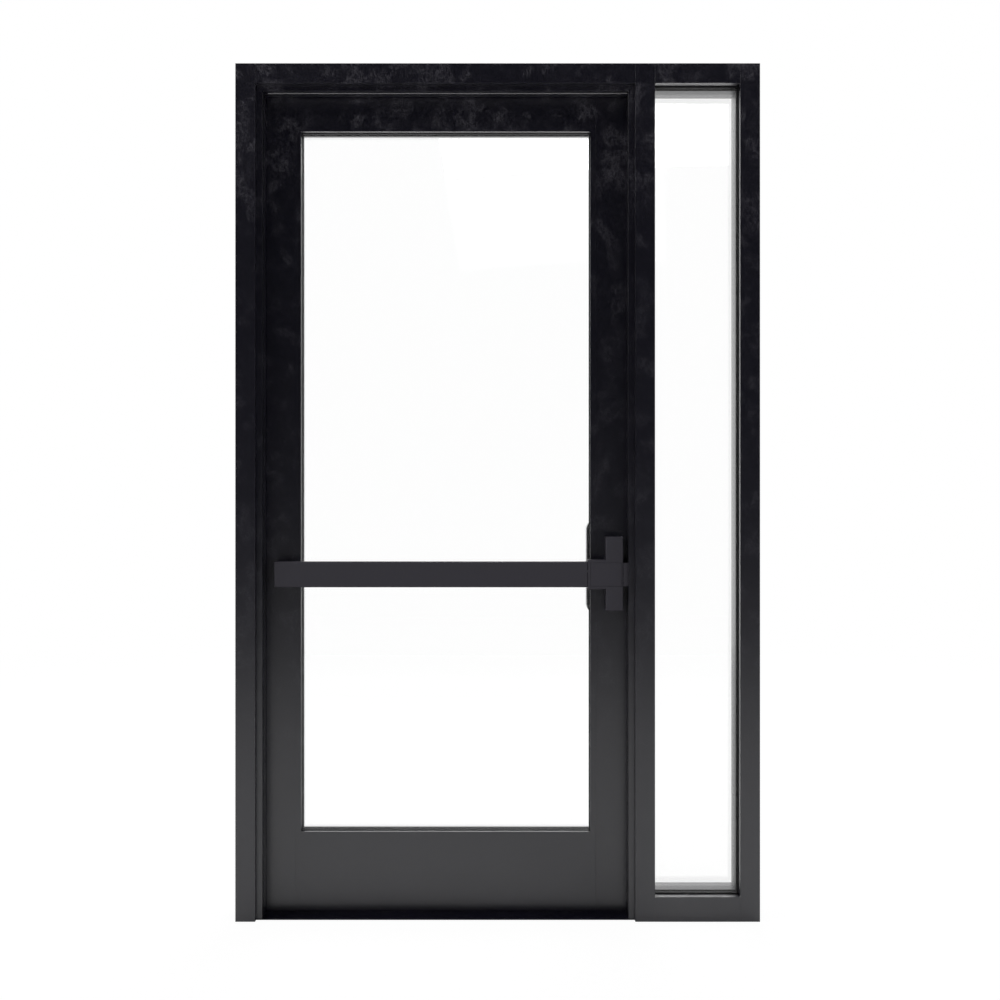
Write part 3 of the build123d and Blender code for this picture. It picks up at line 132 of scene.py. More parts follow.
class Graph:
    """Adds nodes to one shader tree and wires their inputs."""

    def __init__(self, tree: bpy.types.NodeTree) -> None:
        """Keeps the tree that the nodes go into."""
        self.tree = tree

    def add(self, kind: str, inputs: Optional[dict[Any, Any]] = None, **settings: Any) -> bpy.types.Node:
        """Adds one node.

        Args:
            kind: The node's type name in Blender.
            inputs: Socket names or numbers, each with a value or the output socket that feeds it.
            **settings: Properties of the node itself.

        Returns:
            The node.
        """
        node = self.tree.nodes.new(kind)
        for name, value in settings.items():
            setattr(node, name, value)
        for name, value in (inputs or {}).items():
            if isinstance(value, bpy.types.NodeSocket):
                self.tree.links.new(value, node.inputs[name])
            else:
                node.inputs[name].default_value = value
        return node

    def math(self, operation: str, first: Any, second: Any = 0.0, clamp: bool = False) -> Any:
        """Adds a Math node and returns its value."""
        node = self.add("ShaderNodeMath", {0: first, 1: second}, operation=operation, use_clamp=clamp)
        return node.outputs[0]

    def plus(self, first: Any, second: Any) -> Any:
        """Adds two values."""
        return self.math("ADD", first, second)

    def times(self, first: Any, second: Any, clamp: bool = False) -> Any:
        """Multiplies two values."""
        return self.math("MULTIPLY", first, second, clamp)

    def most(self, first: Any, second: Any) -> Any:
        """Returns the larger of two values."""
        return self.math("MAXIMUM", first, second)

    def span(self, value: Any, ramp: Ramp) -> Any:
        """Maps a value from one span to another with clamped ends.

        Args:
            value: The socket to map.
            ramp: Both spans.

        Returns:
            The mapped value's socket.
        """
        inputs = {"Value": value, "From Min": ramp.low, "From Max": ramp.high, "To Min": ramp.start,
                  "To Max": ramp.end}
        return self.add("ShaderNodeMapRange", inputs, interpolation_type="SMOOTHSTEP").outputs["Result"]

    def noise(self, place: Any, noise: Noise) -> Any:
        """Adds fractal noise.

        Args:
            place: The coordinates' socket.
            noise: The noise's settings.

        Returns:
            The factor's socket.
        """
        inputs = {"Vector": place, "Scale": noise.scale, "Detail": noise.detail,
                  "Roughness": noise.roughness, "Distortion": noise.distortion}
        return self.add("ShaderNodeTexNoise", inputs).outputs["Fac"]

    def here(self) -> Any:
        """Returns the object's own coordinates, which are in metres."""
        return self.add("ShaderNodeTexCoord").outputs["Object"]

    def lay(self, place: Any, scale: Point = NO_SCALE, shift: Point = NO_SHIFT) -> Any:
        """Scales coordinates along each axis and shifts them."""
        inputs = {"Vector": place, "Location": shift, "Scale": scale}
        return self.add("ShaderNodeMapping", inputs).outputs["Vector"]

    def mix(self, factor: Any, first: Any, second: Any) -> Any:
        """Mixes two colours and returns the result."""
        node = self.add("ShaderNodeMix", {0: factor, 6: first, 7: second}, data_type="RGBA")
        return node.outputs[2]

    def bump(self, height: Any, strength: float, depth: float) -> Any:
        """Turns a height into a normal and returns its socket."""
        inputs = {"Height": height, "Strength": strength, "Distance": depth}
        return self.add("ShaderNodeBump", inputs).outputs[0]

    def seen(self, path: bpy.types.Node) -> Any:
        """Returns 1 for rays from the camera and through glass, and 0 for all others."""
        return self.most(path.outputs["Is Camera Ray"], path.outputs["Is Transmission Ray"])


class EffectGroup:
    """A shader node group with named inputs and outputs, built once and placed in many materials."""

    name = ""
    inputs: dict[str, Any] = {}
    outputs: dict[str, Channel] = {"Color": Channel.COLOUR, "Roughness": Channel.NUMBER,
                                   "Height": Channel.NUMBER}

    def tree(self) -> bpy.types.NodeTree:
        """Builds the group's tree on first use.

        Returns:
            The tree, which all materials share.
        """
        found = bpy.data.node_groups.get(self.name)
        if found:
            return found
        tree = bpy.data.node_groups.new(self.name, "ShaderNodeTree")
        for name, value in self.inputs.items():
            kind = Channel.COLOUR if isinstance(value, tuple) else Channel.NUMBER
            socket = tree.interface.new_socket(name, in_out="INPUT", socket_type=kind.value)
            socket.default_value = value
        for name, kind in self.outputs.items():
            tree.interface.new_socket(name, in_out="OUTPUT", socket_type=kind.value)
        graph = Graph(tree)
        source = graph.add("NodeGroupInput")
        graph.add("NodeGroupOutput", self.build(graph, source.outputs))
        return tree

    def build(self, graph: Graph, source: Any) -> dict[str, Any]:
        """Adds the group's nodes and returns the socket for each output."""
        raise NotImplementedError

    def place(self, graph: Graph, values: dict[str, Any]) -> Any:
        """Puts the group in a material's graph with its own values.

        Args:
            graph: The material's graph.
            values: The group's inputs by name.

        Returns:
            The placed group's outputs.
        """
        node = graph.tree.nodes.new("ShaderNodeGroup")
        node.node_tree = self.tree()
        for name, value in values.items():
            node.inputs[name].default_value = value
        return node.outputs


class CoatFilm(EffectGroup):
    """Cloudy film, wispy rub marks and the orange peel of a sprayed coat, thicker higher up.

    The shift picks the stretch of the pattern that the door shows, so that its thick and thin patches
    lie near the photographed ones. The rises give the film's thickness by the height above the floor.
    """

    name = "coat film"
    inputs = {"Coat": grey(0.0), "Film": grey(0.0), "Clouds": 0.5, "Wisps": 0.5, "Grit": 0.1,
              "Low Share": 0.2, "Roughness": 0.33, "Roughness Spread": 0.1}

    shift: Point = (0.0, 1.17, 0.0)
    low_rise = Ramp(0.15, 1.0, 0.0, 0.68)
    high_rise = Ramp(1.65, 2.1, 0.0, 0.75)

    broad = Noise(9.0, 4.0, 0.6, 0.4)
    broad_levels = Ramp(0.38, 0.72)
    middle = Noise(38.0, 5.0, 0.65, 0.8)
    middle_levels = Ramp(0.38, 0.74)
    fine = Noise(230.0, 5.0, 0.8, 0.4)
    fine_levels = Ramp(0.42, 0.7)
    least_cloud = 0.3

    wisp_stretch: Point = (1.0, 1.0, 0.7)
    long_wisp = Noise(24.0, 4.0, 0.62, 2.0)
    long_width = 0.02
    short_wisp = Noise(60.0, 3.0, 0.6, 1.8)
    short_width = 0.04
    gaps = Noise(21.0, 3.0)
    gap_levels = Ramp(0.5, 0.62)

    peel = Noise(700.0, 2.0)

    def build(self, graph: Graph, source: Any) -> dict[str, Any]:
        """Adds the group's nodes.

        Args:
            graph: The group's graph.
            source: The group's inputs.

        Returns:
            The socket for each output.
        """
        whole = graph.here()
        place = graph.lay(whole, shift=self.shift)
        grit = graph.span(graph.noise(place, self.fine), self.fine_levels)
        clouds = graph.times(graph.times(self.clouds(graph, place), grit), source["Clouds"])
        wisps = graph.times(self.wisps(graph, place), source["Wisps"])
        speckle = graph.times(grit, source["Grit"])
        marks = graph.plus(clouds, graph.plus(wisps, speckle))
        film = graph.times(marks, self.share(graph, whole, source["Low Share"]), clamp=True)
        rough = graph.plus(source["Roughness"], graph.times(film, source["Roughness Spread"]))
        return {"Color": graph.mix(film, source["Coat"], source["Film"]), "Roughness": rough,
                "Height": graph.noise(place, self.peel)}

    def share(self, graph: Graph, whole: Any, least: Any) -> Any:
        """Works out how thick the film is at each height.

        Args:
            graph: The group's graph.
            whole: The object's own coordinates.
            least: The share that the film has at the foot.

        Returns:
            The share's socket.
        """
        height = graph.add("ShaderNodeSeparateXYZ", {0: whole}).outputs["Z"]
        rise = graph.plus(graph.span(height, self.low_rise), graph.span(height, self.high_rise))
        return graph.most(rise, least)

    def clouds(self, graph: Graph, place: Any) -> Any:
        """Adds broad and middling clouds, one inside the other.

        Args:
            graph: The group's graph.
            place: The pattern's coordinates.

        Returns:
            The clouds' socket.
        """
        broad = graph.span(graph.noise(place, self.broad), self.broad_levels)
        middle = graph.span(graph.noise(place, self.middle), self.middle_levels)
        return graph.times(graph.plus(broad, self.least_cloud), graph.plus(middle, self.least_cloud))

    def wisps(self, graph: Graph, place: Any) -> Any:
        """Adds long and short rub marks, broken up here and there.

        Args:
            graph: The group's graph.
            place: The pattern's coordinates.

        Returns:
            The marks' socket.
        """
        drawn_out = graph.lay(place, self.wisp_stretch)
        long_ones = self.thread(graph, graph.noise(drawn_out, self.long_wisp), self.long_width)
        short_ones = self.thread(graph, graph.noise(drawn_out, self.short_wisp), self.short_width)
        broken = graph.span(graph.noise(place, self.gaps), self.gap_levels)
        return graph.times(graph.most(long_ones, short_ones), broken)

    @staticmethod
    def thread(graph: Graph, noise: Any, width: float) -> Any:
        """Turns the middle level of a noise into soft threads of a width."""
        off_middle = graph.math("ABSOLUTE", graph.math("SUBTRACT", noise, 0.5))
        return graph.span(off_middle, Ramp(0.0, width, 1.0, 0.0))


class MetalGrain(EffectGroup):
    """Fine drawn lines along one axis with faint stains."""

    name = "metal grain"
    inputs = {"Metal": grey(0.5), "Stain": grey(0.2), "Across": 900.0, "Along": 12.0, "Roughness": 0.3,
              "Roughness Spread": 0.2, "Stain Amount": 0.4}

    lines = Noise(1.0, 3.0, 0.6)
    line_share = 0.15
    stains = Noise(60.0, 5.0, 0.6)
    stain_levels = Ramp(0.5, 0.75)

    def build(self, graph: Graph, source: Any) -> dict[str, Any]:
        """Adds the group's nodes.

        Args:
            graph: The group's graph.
            source: The group's inputs.

        Returns:
            The socket for each output.
        """
        place = graph.here()
        axes = {"X": source["Along"], "Y": source["Across"], "Z": source["Across"]}
        scale = graph.add("ShaderNodeCombineXYZ", axes).outputs[0]
        drawn = graph.add("ShaderNodeVectorMath", {0: place, 1: scale}, operation="MULTIPLY").outputs[0]
        grain = graph.noise(drawn, self.lines)
        stain = graph.span(graph.noise(place, self.stains), self.stain_levels)
        dirt = graph.times(stain, source["Stain Amount"])
        tone = graph.math("ADD", dirt, graph.times(grain, self.line_share), clamp=True)
        rough = graph.plus(source["Roughness"], graph.times(grain, source["Roughness Spread"]))
        return {"Color": graph.mix(tone, source["Metal"], source["Stain"]), "Roughness": rough,
                "Height": grain}


@dataclass(frozen=True)
class Finish:
    """One material for one of the record's material slots."""

    slot: str

    def material(self) -> bpy.types.Material:
        """Builds the finish's material on first use.

        Returns:
            The material, which all pieces of the slot share.
        """
        name = self.slot.replace("_", " ")
        found = bpy.data.materials.get(name)
        if found:
            return found
        made = bpy.data.materials.new(name)
        made.use_nodes = True
        made.node_tree.nodes.clear()
        graph = Graph(made.node_tree)
        graph.add("ShaderNodeOutputMaterial", {"Surface": self.surface(graph)})
        return made

    def surface(self, graph: Graph) -> Any:
        """Adds the finish's nodes and returns its shader."""
        raise NotImplementedError


@dataclass(frozen=True)
class Coat(Finish):
    """A sprayed paint or powder coat, or a dark anodised skin."""

    colour: Colour
    film: Colour
    clouds: float
    wisps: float
    grit: float
    low_share: float
    roughness: float
    spread: float
    peel: float = 0.000006
    peel_strength: float = 0.5
    ior: float = 1.5
    specular: float = 0.5
    gloss: float = 0.0
    gloss_roughness: float = 0.25

    def surface(self, graph: Graph) -> Any:
        """Adds the finish's nodes.

        Args:
            graph: The material's graph.

        Returns:
            The shader's socket.
        """
        film = CoatFilm().place(graph, {
            "Coat": solid(self.colour), "Film": solid(self.film), "Clouds": self.clouds,
            "Wisps": self.wisps, "Grit": self.grit, "Low Share": self.low_share,
            "Roughness": self.roughness, "Roughness Spread": self.spread})
        return graph.add("ShaderNodeBsdfPrincipled", {
            "Base Color": film["Color"], "Roughness": film["Roughness"],
            "Normal": graph.bump(film["Height"], self.peel_strength, self.peel), "IOR": self.ior,
            "Specular IOR Level": self.specular, "Coat Weight": self.gloss,
            "Coat Roughness": self.gloss_roughness}).outputs[0]


@dataclass(frozen=True)
class Metal(Finish):
    """Bare metal with a drawn or brushed grain."""

    colour: Colour
    stain: Colour
    roughness: float
    spread: float
    across: float = 900.0
    along: float = 12.0
    stains: float = 0.4
    grain_strength: float = 0.4
    grain_depth: float = 0.00003

    def surface(self, graph: Graph) -> Any:
        """Adds the finish's nodes.

        Args:
            graph: The material's graph.

        Returns:
            The shader's socket.
        """
        grain = MetalGrain().place(graph, {
            "Metal": solid(self.colour), "Stain": solid(self.stain), "Across": self.across,
            "Along": self.along, "Roughness": self.roughness, "Roughness Spread": self.spread,
            "Stain Amount": self.stains})
        return graph.add("ShaderNodeBsdfPrincipled", {
            "Base Color": grain["Color"], "Metallic": 1.0, "Roughness": grain["Roughness"],
            "Normal": graph.bump(grain["Height"], self.grain_strength, self.grain_depth)}).outputs[0]


@dataclass(frozen=True)
class Soft(Finish):
    """Rubber, nylon or brush fibre, with its grain's waves a metre."""

    colour: Colour
    worn: Colour
    fineness: float
    roughness: float
    spread: float = 0.08
    depth: float = 0.0002
    strength: float = 0.6
    grain: Noise = Noise(1.0, 4.0, 0.6)
    worn_levels: Ramp = Ramp(0.35, 0.75)
    rough_levels: Span = (0.2, 0.8)

    def surface(self, graph: Graph) -> Any:
        """Adds the finish's nodes.

        Args:
            graph: The material's graph.

        Returns:
            The shader's socket.
        """
        grain = graph.noise(graph.lay(graph.here(), (self.fineness,) * 3), self.grain)
        colour = graph.mix(graph.span(grain, self.worn_levels), solid(self.colour), solid(self.worn))
        smooth, rough = self.roughness - self.spread, self.roughness + self.spread
        return graph.add("ShaderNodeBsdfPrincipled", {
            "Base Color": colour, "Roughness": graph.span(grain, Ramp(*self.rough_levels, smooth, rough)),
            "Normal": graph.bump(grain, self.strength, self.depth)}).outputs[0]


@dataclass(frozen=True)
class ClearGlass(Finish):
    """Polished glass, nearly free of tint."""

    tint: Colour
    alpha: float = 0.09
    ior: float = 1.5

    def surface(self, graph: Graph) -> Any:
        """Adds the finish's one node.

        Args:
            graph: The material's graph.

        Returns:
            The shader's socket.
        """
        return graph.add("ShaderNodeBsdfPrincipled", {
            "Base Color": solid(self.tint), "Roughness": 0.0, "Metallic": 0.0, "IOR": self.ior,
            "Transmission Weight": 1.0, "Alpha": self.alpha}).outputs[0]


FRAME_COAT = Coat("frame_coat", (0.0018, 0.0011, 0.012), (0.1, 0.095, 0.115), clouds=0.3, wisps=0.42,
                  grit=0.07, low_share=0.05, roughness=0.33, spread=0.05, ior=1.8, specular=0.8, gloss=0.6)
DEVICE_COAT = Coat("device_coat", (0.045, 0.042, 0.055), (0.06, 0.057, 0.07), clouds=0.3, wisps=0.12,
                   grit=0.15, low_share=0.6, roughness=0.5, spread=0.06)
PULL_COAT = Coat("pull_coat", (0.008, 0.008, 0.01), (0.03, 0.03, 0.033), clouds=0.3, wisps=0.2,
                 grit=0.1, low_share=0.4, roughness=0.28, spread=0.1, ior=1.7)
HINGE_COAT = Coat("hinge_coat", (0.01, 0.01, 0.012), (0.05, 0.05, 0.053), clouds=0.4, wisps=0.4,
                  grit=0.1, low_share=0.6, roughness=0.36, spread=0.12, ior=1.6)
PLAIN_STEEL = Metal("plain_steel", (0.45, 0.45, 0.46), (0.18, 0.17, 0.16), 0.28, 0.2)
LATCH_STEEL = Metal("latch_steel", (0.52, 0.52, 0.53), (0.3, 0.3, 0.3), 0.22, 0.18)
CYLINDER_METAL = Metal("cylinder_metal", (0.5, 0.5, 0.51), (0.3, 0.3, 0.3), 0.2, 0.15)
SPACER_BAR = Soft("spacer_bar", (0.02, 0.02, 0.022), (0.035, 0.035, 0.038), 500.0, 0.6)
RUBBER = Soft("gasket_rubber", (0.009, 0.009, 0.01), (0.018, 0.018, 0.019), 400.0, 0.5)
BLACK_PILE = Soft("pile_fibre", (0.008, 0.008, 0.009), (0.02, 0.02, 0.022), 2500.0, 0.85)
# Painted highlight: this grey pile is made near white so that the header's brush shows as a pale line, as if
# lit from the floor below; the pile's own grey is darker.
GREY_PILE_PAINTED_HIGHLIGHT = Soft("grey_pile", (0.78, 0.78, 0.79), (0.9, 0.9, 0.91), 2500.0, 0.85)
NYLON = Soft("bush_plastic", (0.55, 0.53, 0.47), (0.66, 0.64, 0.58), 300.0, 0.45)
DOOR_GLASS = ClearGlass("door_glass", (0.985, 0.995, 0.99))
LITE_GLASS = ClearGlass("lite_glass", (0.985, 0.995, 0.99))

FINISHES: tuple[Finish, ...] = (
    FRAME_COAT, DEVICE_COAT, PULL_COAT, HINGE_COAT, PLAIN_STEEL, LATCH_STEEL, CYLINDER_METAL, SPACER_BAR,
    RUBBER, BLACK_PILE, GREY_PILE_PAINTED_HIGHLIGHT, NYLON, DOOR_GLASS, LITE_GLASS)


@dataclass(frozen=True)
class Lamp:
    """One soft square lamp: its name, where it hangs, the side of its square and its watts."""

    name: str
    place: Point
    size: float
    power: float


@dataclass
class Studio:
    """The camera, the floor and the plain light round the door.

    The fades are spans of a reflected ray's direction through the door, from -1 in front to +1 straight
    behind. Over them the room that gloss sees turns from dark to grey at the sides, and then to white.
    """

    camera_place: Point = (0.006, -2.983, 1.088)
    lens: float = 40.84
    sensor: float = 36.0
    far_limit: float = 200.0
    floor_front: float = -4.0
    floor_back: float = 5.0
    floor_side: float = 7.0
    floor_tone: float = 0.5
    floor_glow: float = 1.08
    glow_share: float = 0.88
    day: float = 0.62
    room: Colour = (0.004, 0.004, 0.006)
    side_tone: float = 0.12
    side_fade: Ramp = Ramp(-0.1, 0.4)
    back_fade: Ramp = Ramp(0.86, 0.93)
    lamp_aim: Point = (0.0, 0.0, 1.1)
    lamps: tuple[Lamp, ...] = (Lamp("left_front", (-4.6, -1.2, 4.6), 2.4, 78.0),
                               Lamp("right_front", (4.6, -1.2, 4.6), 2.4, 48.0),
                               Lamp("high_back", (0.6, 3.4, 4.8), 2.5, 110.0))

    def camera(self) -> None:
        """Sets the camera at the photograph's viewpoint, level and square to the door."""
        data = bpy.data.cameras.new("camera")
        data.lens = self.lens
        data.sensor_width = self.sensor
        data.clip_end = self.far_limit
        made = bpy.data.objects.new("camera", data)
        made.location = self.camera_place
        made.rotation_euler = (math.radians(90.0), 0.0, 0.0)
        bpy.context.scene.collection.objects.link(made)
        bpy.context.scene.camera = made

    def world(self) -> None:
        """Lights everything from all round, white behind the door and dim in front of it for gloss."""
        world = bpy.data.worlds.new("studio")
        bpy.context.scene.world = world
        world.cycles.sampling_method = "NONE"
        world.use_nodes = True
        world.node_tree.nodes.clear()
        graph = Graph(world.node_tree)
        way = graph.add("ShaderNodeTexCoord").outputs["Generated"]
        through = graph.add("ShaderNodeSeparateXYZ", {0: way}).outputs["Y"]
        walls = graph.mix(graph.span(through, self.side_fade), solid(self.room), grey(self.side_tone))
        room = graph.mix(graph.span(through, self.back_fade), walls, WHITE)
        path = graph.add("ShaderNodeLightPath")
        unseen = graph.mix(path.outputs["Is Glossy Ray"], grey(self.day), room)
        colour = graph.mix(graph.seen(path), unseen, WHITE)
        surface = graph.add("ShaderNodeBackground", {"Color": colour}).outputs[0]
        graph.add("ShaderNodeOutputWorld", {0: surface})

    def floor(self) -> None:
        """Lays a pale floor that shows white to the camera and keeps the door's shadow."""
        mesh = bpy.data.meshes.new("floor")
        side, front, back = self.floor_side, self.floor_front, self.floor_back
        corners = [(-side, front, 0.0), (side, front, 0.0), (side, back, 0.0), (-side, back, 0.0)]
        mesh.from_pydata(corners, [], [(0, 1, 2, 3)])
        made = bpy.data.objects.new("floor", mesh)
        bpy.context.scene.collection.objects.link(made)
        finish = bpy.data.materials.new("pale floor")
        finish.use_nodes = True
        finish.node_tree.nodes.clear()
        graph = Graph(finish.node_tree)
        share = graph.times(graph.seen(graph.add("ShaderNodeLightPath")), self.glow_share)
        matt = graph.add("ShaderNodeBsdfDiffuse", {"Color": grey(self.floor_tone)}).outputs[0]
        glow = {"Color": WHITE, "Strength": self.floor_glow}
        white = graph.add("ShaderNodeEmission", glow).outputs[0]
        surface = graph.add("ShaderNodeMixShader", {0: share, 1: matt, 2: white}).outputs[0]
        graph.add("ShaderNodeOutputMaterial", {"Surface": surface})
        mesh.materials.append(finish)

    def hang(self, lamp: Lamp) -> None:
        """Hangs one lamp and turns it to the door.

        Args:
            lamp: The lamp.
        """
        data = bpy.data.lights.new(lamp.name, "AREA")
        data.size = lamp.size
        data.energy = lamp.power
        made = bpy.data.objects.new(lamp.name, data)
        made.location = lamp.place
        aim = Vector(self.lamp_aim) - Vector(lamp.place)
        made.rotation_euler = aim.to_track_quat("-Z", "Y").to_euler()
        bpy.context.scene.collection.objects.link(made)

    def build(self) -> None:
        """Sets the whole stage."""
        self.camera()
        self.world()
        self.floor()
        for lamp in self.lamps:
            self.hang(lamp)


@dataclass(frozen=True)
class PackedModel:
    """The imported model's nodes and the finish that the record gives each of them."""

    frame: dict[str, Any]

    def finish(self, node: str) -> Finish:
        """Returns the finish of one node."""
        slots = {entry["node"]: entry["material_slot"] for entry in self.frame["record"]["subparts"]}
        return next(finish for finish in FINISHES if finish.slot == slots[node])


class Draft:
    """Gathers the mesh of one piece and turns it into an object."""

    sharp_angle = 38.0

    def __init__(self) -> None:
        """Starts with an empty mesh."""
        self.mesh = bmesh.new()

    def skin(self, rings: Sequence[Sequence[Any]], closed: bool = False) -> None:
        """Joins rings of points with faces, and fills the ends of a row that isn't closed.

        Args:
            rings: The rings in order, with the same number of points each.
            closed: Whether the last ring joins the first.
        """
        rows = [[self.mesh.verts.new(point) for point in ring] for ring in rings]
        pairs = list(zip(rows, rows[1:]))
        if closed:
            pairs.append((rows[-1], rows[0]))
        for near, far in pairs:
            for i, corner in enumerate(near):
                j = (i + 1) % len(near)
                self.mesh.faces.new((corner, near[j], far[j], far[i]))
        if not closed:
            self.mesh.faces.new(rows[0][::-1])
            self.mesh.faces.new(rows[-1])

    def turn(self, profile: Sequence[Span], place: Matrix, steps: int) -> None:
        """Turns a profile round a place's own Z axis.

        Args:
            profile: Pairs of radius and height, in order.
            place: Where the axis stands.
            steps: Points round the axis.
        """
        angles = [2.0 * math.pi * i / steps for i in range(steps)]
        self.skin([[place @ Vector((radius * math.cos(angle), radius * math.sin(angle), height))
                    for angle in angles] for radius, height in profile])

    def mitre(self, across: Span, upright: Span, profile: Sequence[Span]) -> None:
        """Runs a profile round an upright rectangle with mitred corners.

        Args:
            across: The rectangle's left and right.
            upright: Its bottom and top.
            profile: Pairs of inset from the rectangle and depth through the door, in order.
        """
        (left, right), (bottom, top) = across, upright
        corners = ((left, bottom, 1, 1), (right, bottom, -1, 1), (right, top, -1, -1), (left, top, 1, -1))
        self.skin([[(x + inward * inset, depth, z + upward * inset) for inset, depth in profile]
                   for x, z, inward, upward in corners], closed=True)

    def piece(self, name: str, finish: Finish, body: Body, replaced: str) -> bpy.types.Object:
        """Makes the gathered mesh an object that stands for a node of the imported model.

        Args:
            name: The object's name.
            finish: Its finish.
            body: The body that it rides on.
            replaced: The node that it stands for.

        Returns:
            The object.
        """
        bmesh.ops.recalc_face_normals(self.mesh, faces=self.mesh.faces)
        data = bpy.data.meshes.new(name)
        self.mesh.to_mesh(data)
        self.mesh.free()
        data.shade_smooth()
        data.set_sharp_from_angle(angle=math.radians(self.sharp_angle))
        data.materials.append(finish.material())
        made = bpy.data.objects.new(name, data)
        bpy.context.scene.collection.objects.link(made)
        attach(made, body.value)
        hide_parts(replaced)
        LOG.info("made %s for %s: %d faces", name, replaced, len(data.polygons))
        return made


@dataclass
class ReturnSprings:
    """The two coil springs that push the bar out again.

    The wire is given by its radius, and the closed pitch is in wire radii for each turn. Pressed is the
    share of its length that a spring keeps when the bar is in.
    """

    places: tuple[float, ...] = (-0.4501, 0.1499)
    height: float = 0.894
    span: Span = (-0.0309, 0.00135)
    outer_radius: float = 0.00895
    wire: float = 0.0008
    wire_sides: int = 8
    turns: float = 7.0
    closed_turns: float = 1.1
    closed_pitch: float = 2.05
    steps: int = 26
    pressed: float = 0.628

    def depth(self, turn: float) -> float:
        """Works out how deep in the door the wire's centre lies.

        Args:
            turn: Turns from the near end.

        Returns:
            The depth.
        """
        near, far = self.span[0] + self.wire, self.span[1] - self.wire
        closed = self.closed_turns * self.closed_pitch * self.wire
        if turn < self.closed_turns:
            return near + closed * turn / self.closed_turns
        if turn > self.turns - self.closed_turns:
            return far - closed * (self.turns - turn) / self.closed_turns
        share = (turn - self.closed_turns) / (self.turns - 2.0 * self.closed_turns)
        return near + closed + share * (far - near - 2.0 * closed)

    def coil(self, draft: Draft, place: float) -> None:
        """Adds one spring with closed turns at both ends.

        Args:
            draft: Where the mesh goes.
            place: The spring's place along the bar.
        """
        inward = Vector((0.0, 1.0, 0.0))
        section = [2.0 * math.pi * k / self.wire_sides for k in range(self.wire_sides)]
        rings = []
        for i in range(round(self.turns * self.steps) + 1):
            turn = i / self.steps
            angle = 2.0 * math.pi * turn
            out = Vector((math.cos(angle), 0.0, math.sin(angle)))
            centre = Vector((place, self.depth(turn), self.height)) + (self.outer_radius - self.wire) * out
            rings.append([centre + self.wire * (math.cos(a) * out + math.sin(a) * inward) for a in section])
        draft.skin(rings)

    def build(self, model: PackedModel) -> None:
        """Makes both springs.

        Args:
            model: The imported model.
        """
        draft = Draft()
        for place in self.places:
            self.coil(draft, place)
        made = draft.piece("coil_springs", model.finish("return_springs"), Body.LEAF, "return_springs")
        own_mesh(made)


@dataclass(frozen=True)
class ScrewForm:
    """The form of a countersunk screw with a cross recess and a thread.

    Head and shank are radii. The recess is a cross whose arms' length and half width are shares of the
    head. Its rings are pairs of a share of the cross and a depth in head radii. The side angles, in
    degrees from the middle of an arm, set the points along the arms' straight sides between two ends.
    """

    head: float
    shank: float
    length: float
    pitch: float = 0.0009
    arm_length: float = 0.56
    arm_width: float = 0.13
    recess: tuple[Span, ...] = ((0.6, 0.45), (0.9, 0.1), (1.0, 0.0))
    side_angles: tuple[float, ...] = (25.0, 37.0, 45.0, 53.0, 65.0)
    rim_share: float = 0.97
    rim_depth: float = 0.0002
    root_share: float = 0.84
    root_place: float = 0.4
    tip_share: float = 0.4
    tip_length: float = 0.001

    def cross(self) -> list[Span]:
        """Works out the outline of the recess at the head's face.

        Returns:
            Pairs of angle and reach, in order round the screw.
        """
        long, wide = self.head * self.arm_length, self.head * self.arm_width
        edge = math.atan2(wide, long)
        sides = [math.radians(angle) for angle in self.side_angles]
        outline = []
        for arm in range(4):
            for angle in (0.0, edge, *sides, math.pi / 2.0 - edge):
                turned = min(angle, math.pi / 2.0 - angle)
                reach = 1.0 / max(math.cos(turned) / long, math.sin(turned) / wide)
                outline.append((angle + arm * math.pi / 2.0, reach))
        return outline

    def profile(self) -> list[Span]:
        """Works out the outside from the head's rim to the tip.

        Returns:
            Pairs of radius and depth, in order.
        """
        depth = self.head - self.shank
        points = [(self.head * self.rim_share, 0.0), (self.head, self.rim_depth), (self.shank, depth)]
        while depth + self.pitch < self.length - self.tip_length:
            points.append((self.shank * self.root_share, depth + self.root_place * self.pitch))
            points.append((self.shank, depth + self.pitch))
            depth += self.pitch
        points.append((self.shank * self.tip_share, self.length))
        return points


@dataclass
class FlatScrews:
    """One group of flat screws, given by the middles of their heads' faces and the way that they go in."""

    name: str
    node: str
    body: Body
    form: ScrewForm
    places: Sequence[Point]
    way: Point

    def screw(self, draft: Draft, place: Point) -> None:
        """Adds one screw.

        Args:
            draft: Where the mesh goes.
            place: The middle of its head's face.
        """
        stand = Matrix.Translation(place) @ Vector(self.way).to_track_quat("Z", "Y").to_matrix().to_4x4()
        cross = self.form.cross()
        rings = [[stand @ Vector((share * reach * math.cos(angle), share * reach * math.sin(angle),
                                  depth * self.form.head)) for angle, reach in cross]
                 for share, depth in self.form.recess]
        rings += [[stand @ Vector((radius * math.cos(angle), radius * math.sin(angle), depth))
                   for angle, _ in cross] for radius, depth in self.form.profile()]
        draft.skin(rings)

    def build(self, model: PackedModel) -> None:
        """Makes all the screws of the group.

        Args:
            model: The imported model.
        """
        draft = Draft()
        for place in self.places:
            self.screw(draft, place)
        draft.piece(self.name, model.finish(self.node), self.body, self.node)


@dataclass
class Strike:
    """The strike's two screws, which go into the mullion."""

    face: float = 0.3372
    depth: float = -0.0155
    heights: Span = (0.874, 0.914)
    form: ScrewForm = ScrewForm(head=0.00419, shank=0.0024, length=0.01)

    def build(self, model: PackedModel) -> None:
        """Makes the screws.

        Args:
            model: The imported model.
        """
        places = [(self.face, self.depth, height) for height in self.heights]
        way = (1.0, 0.0, 0.0)
        FlatScrews("strike_flat_screws", "strike_screws", Body.FRAME, self.form, places, way).build(model)


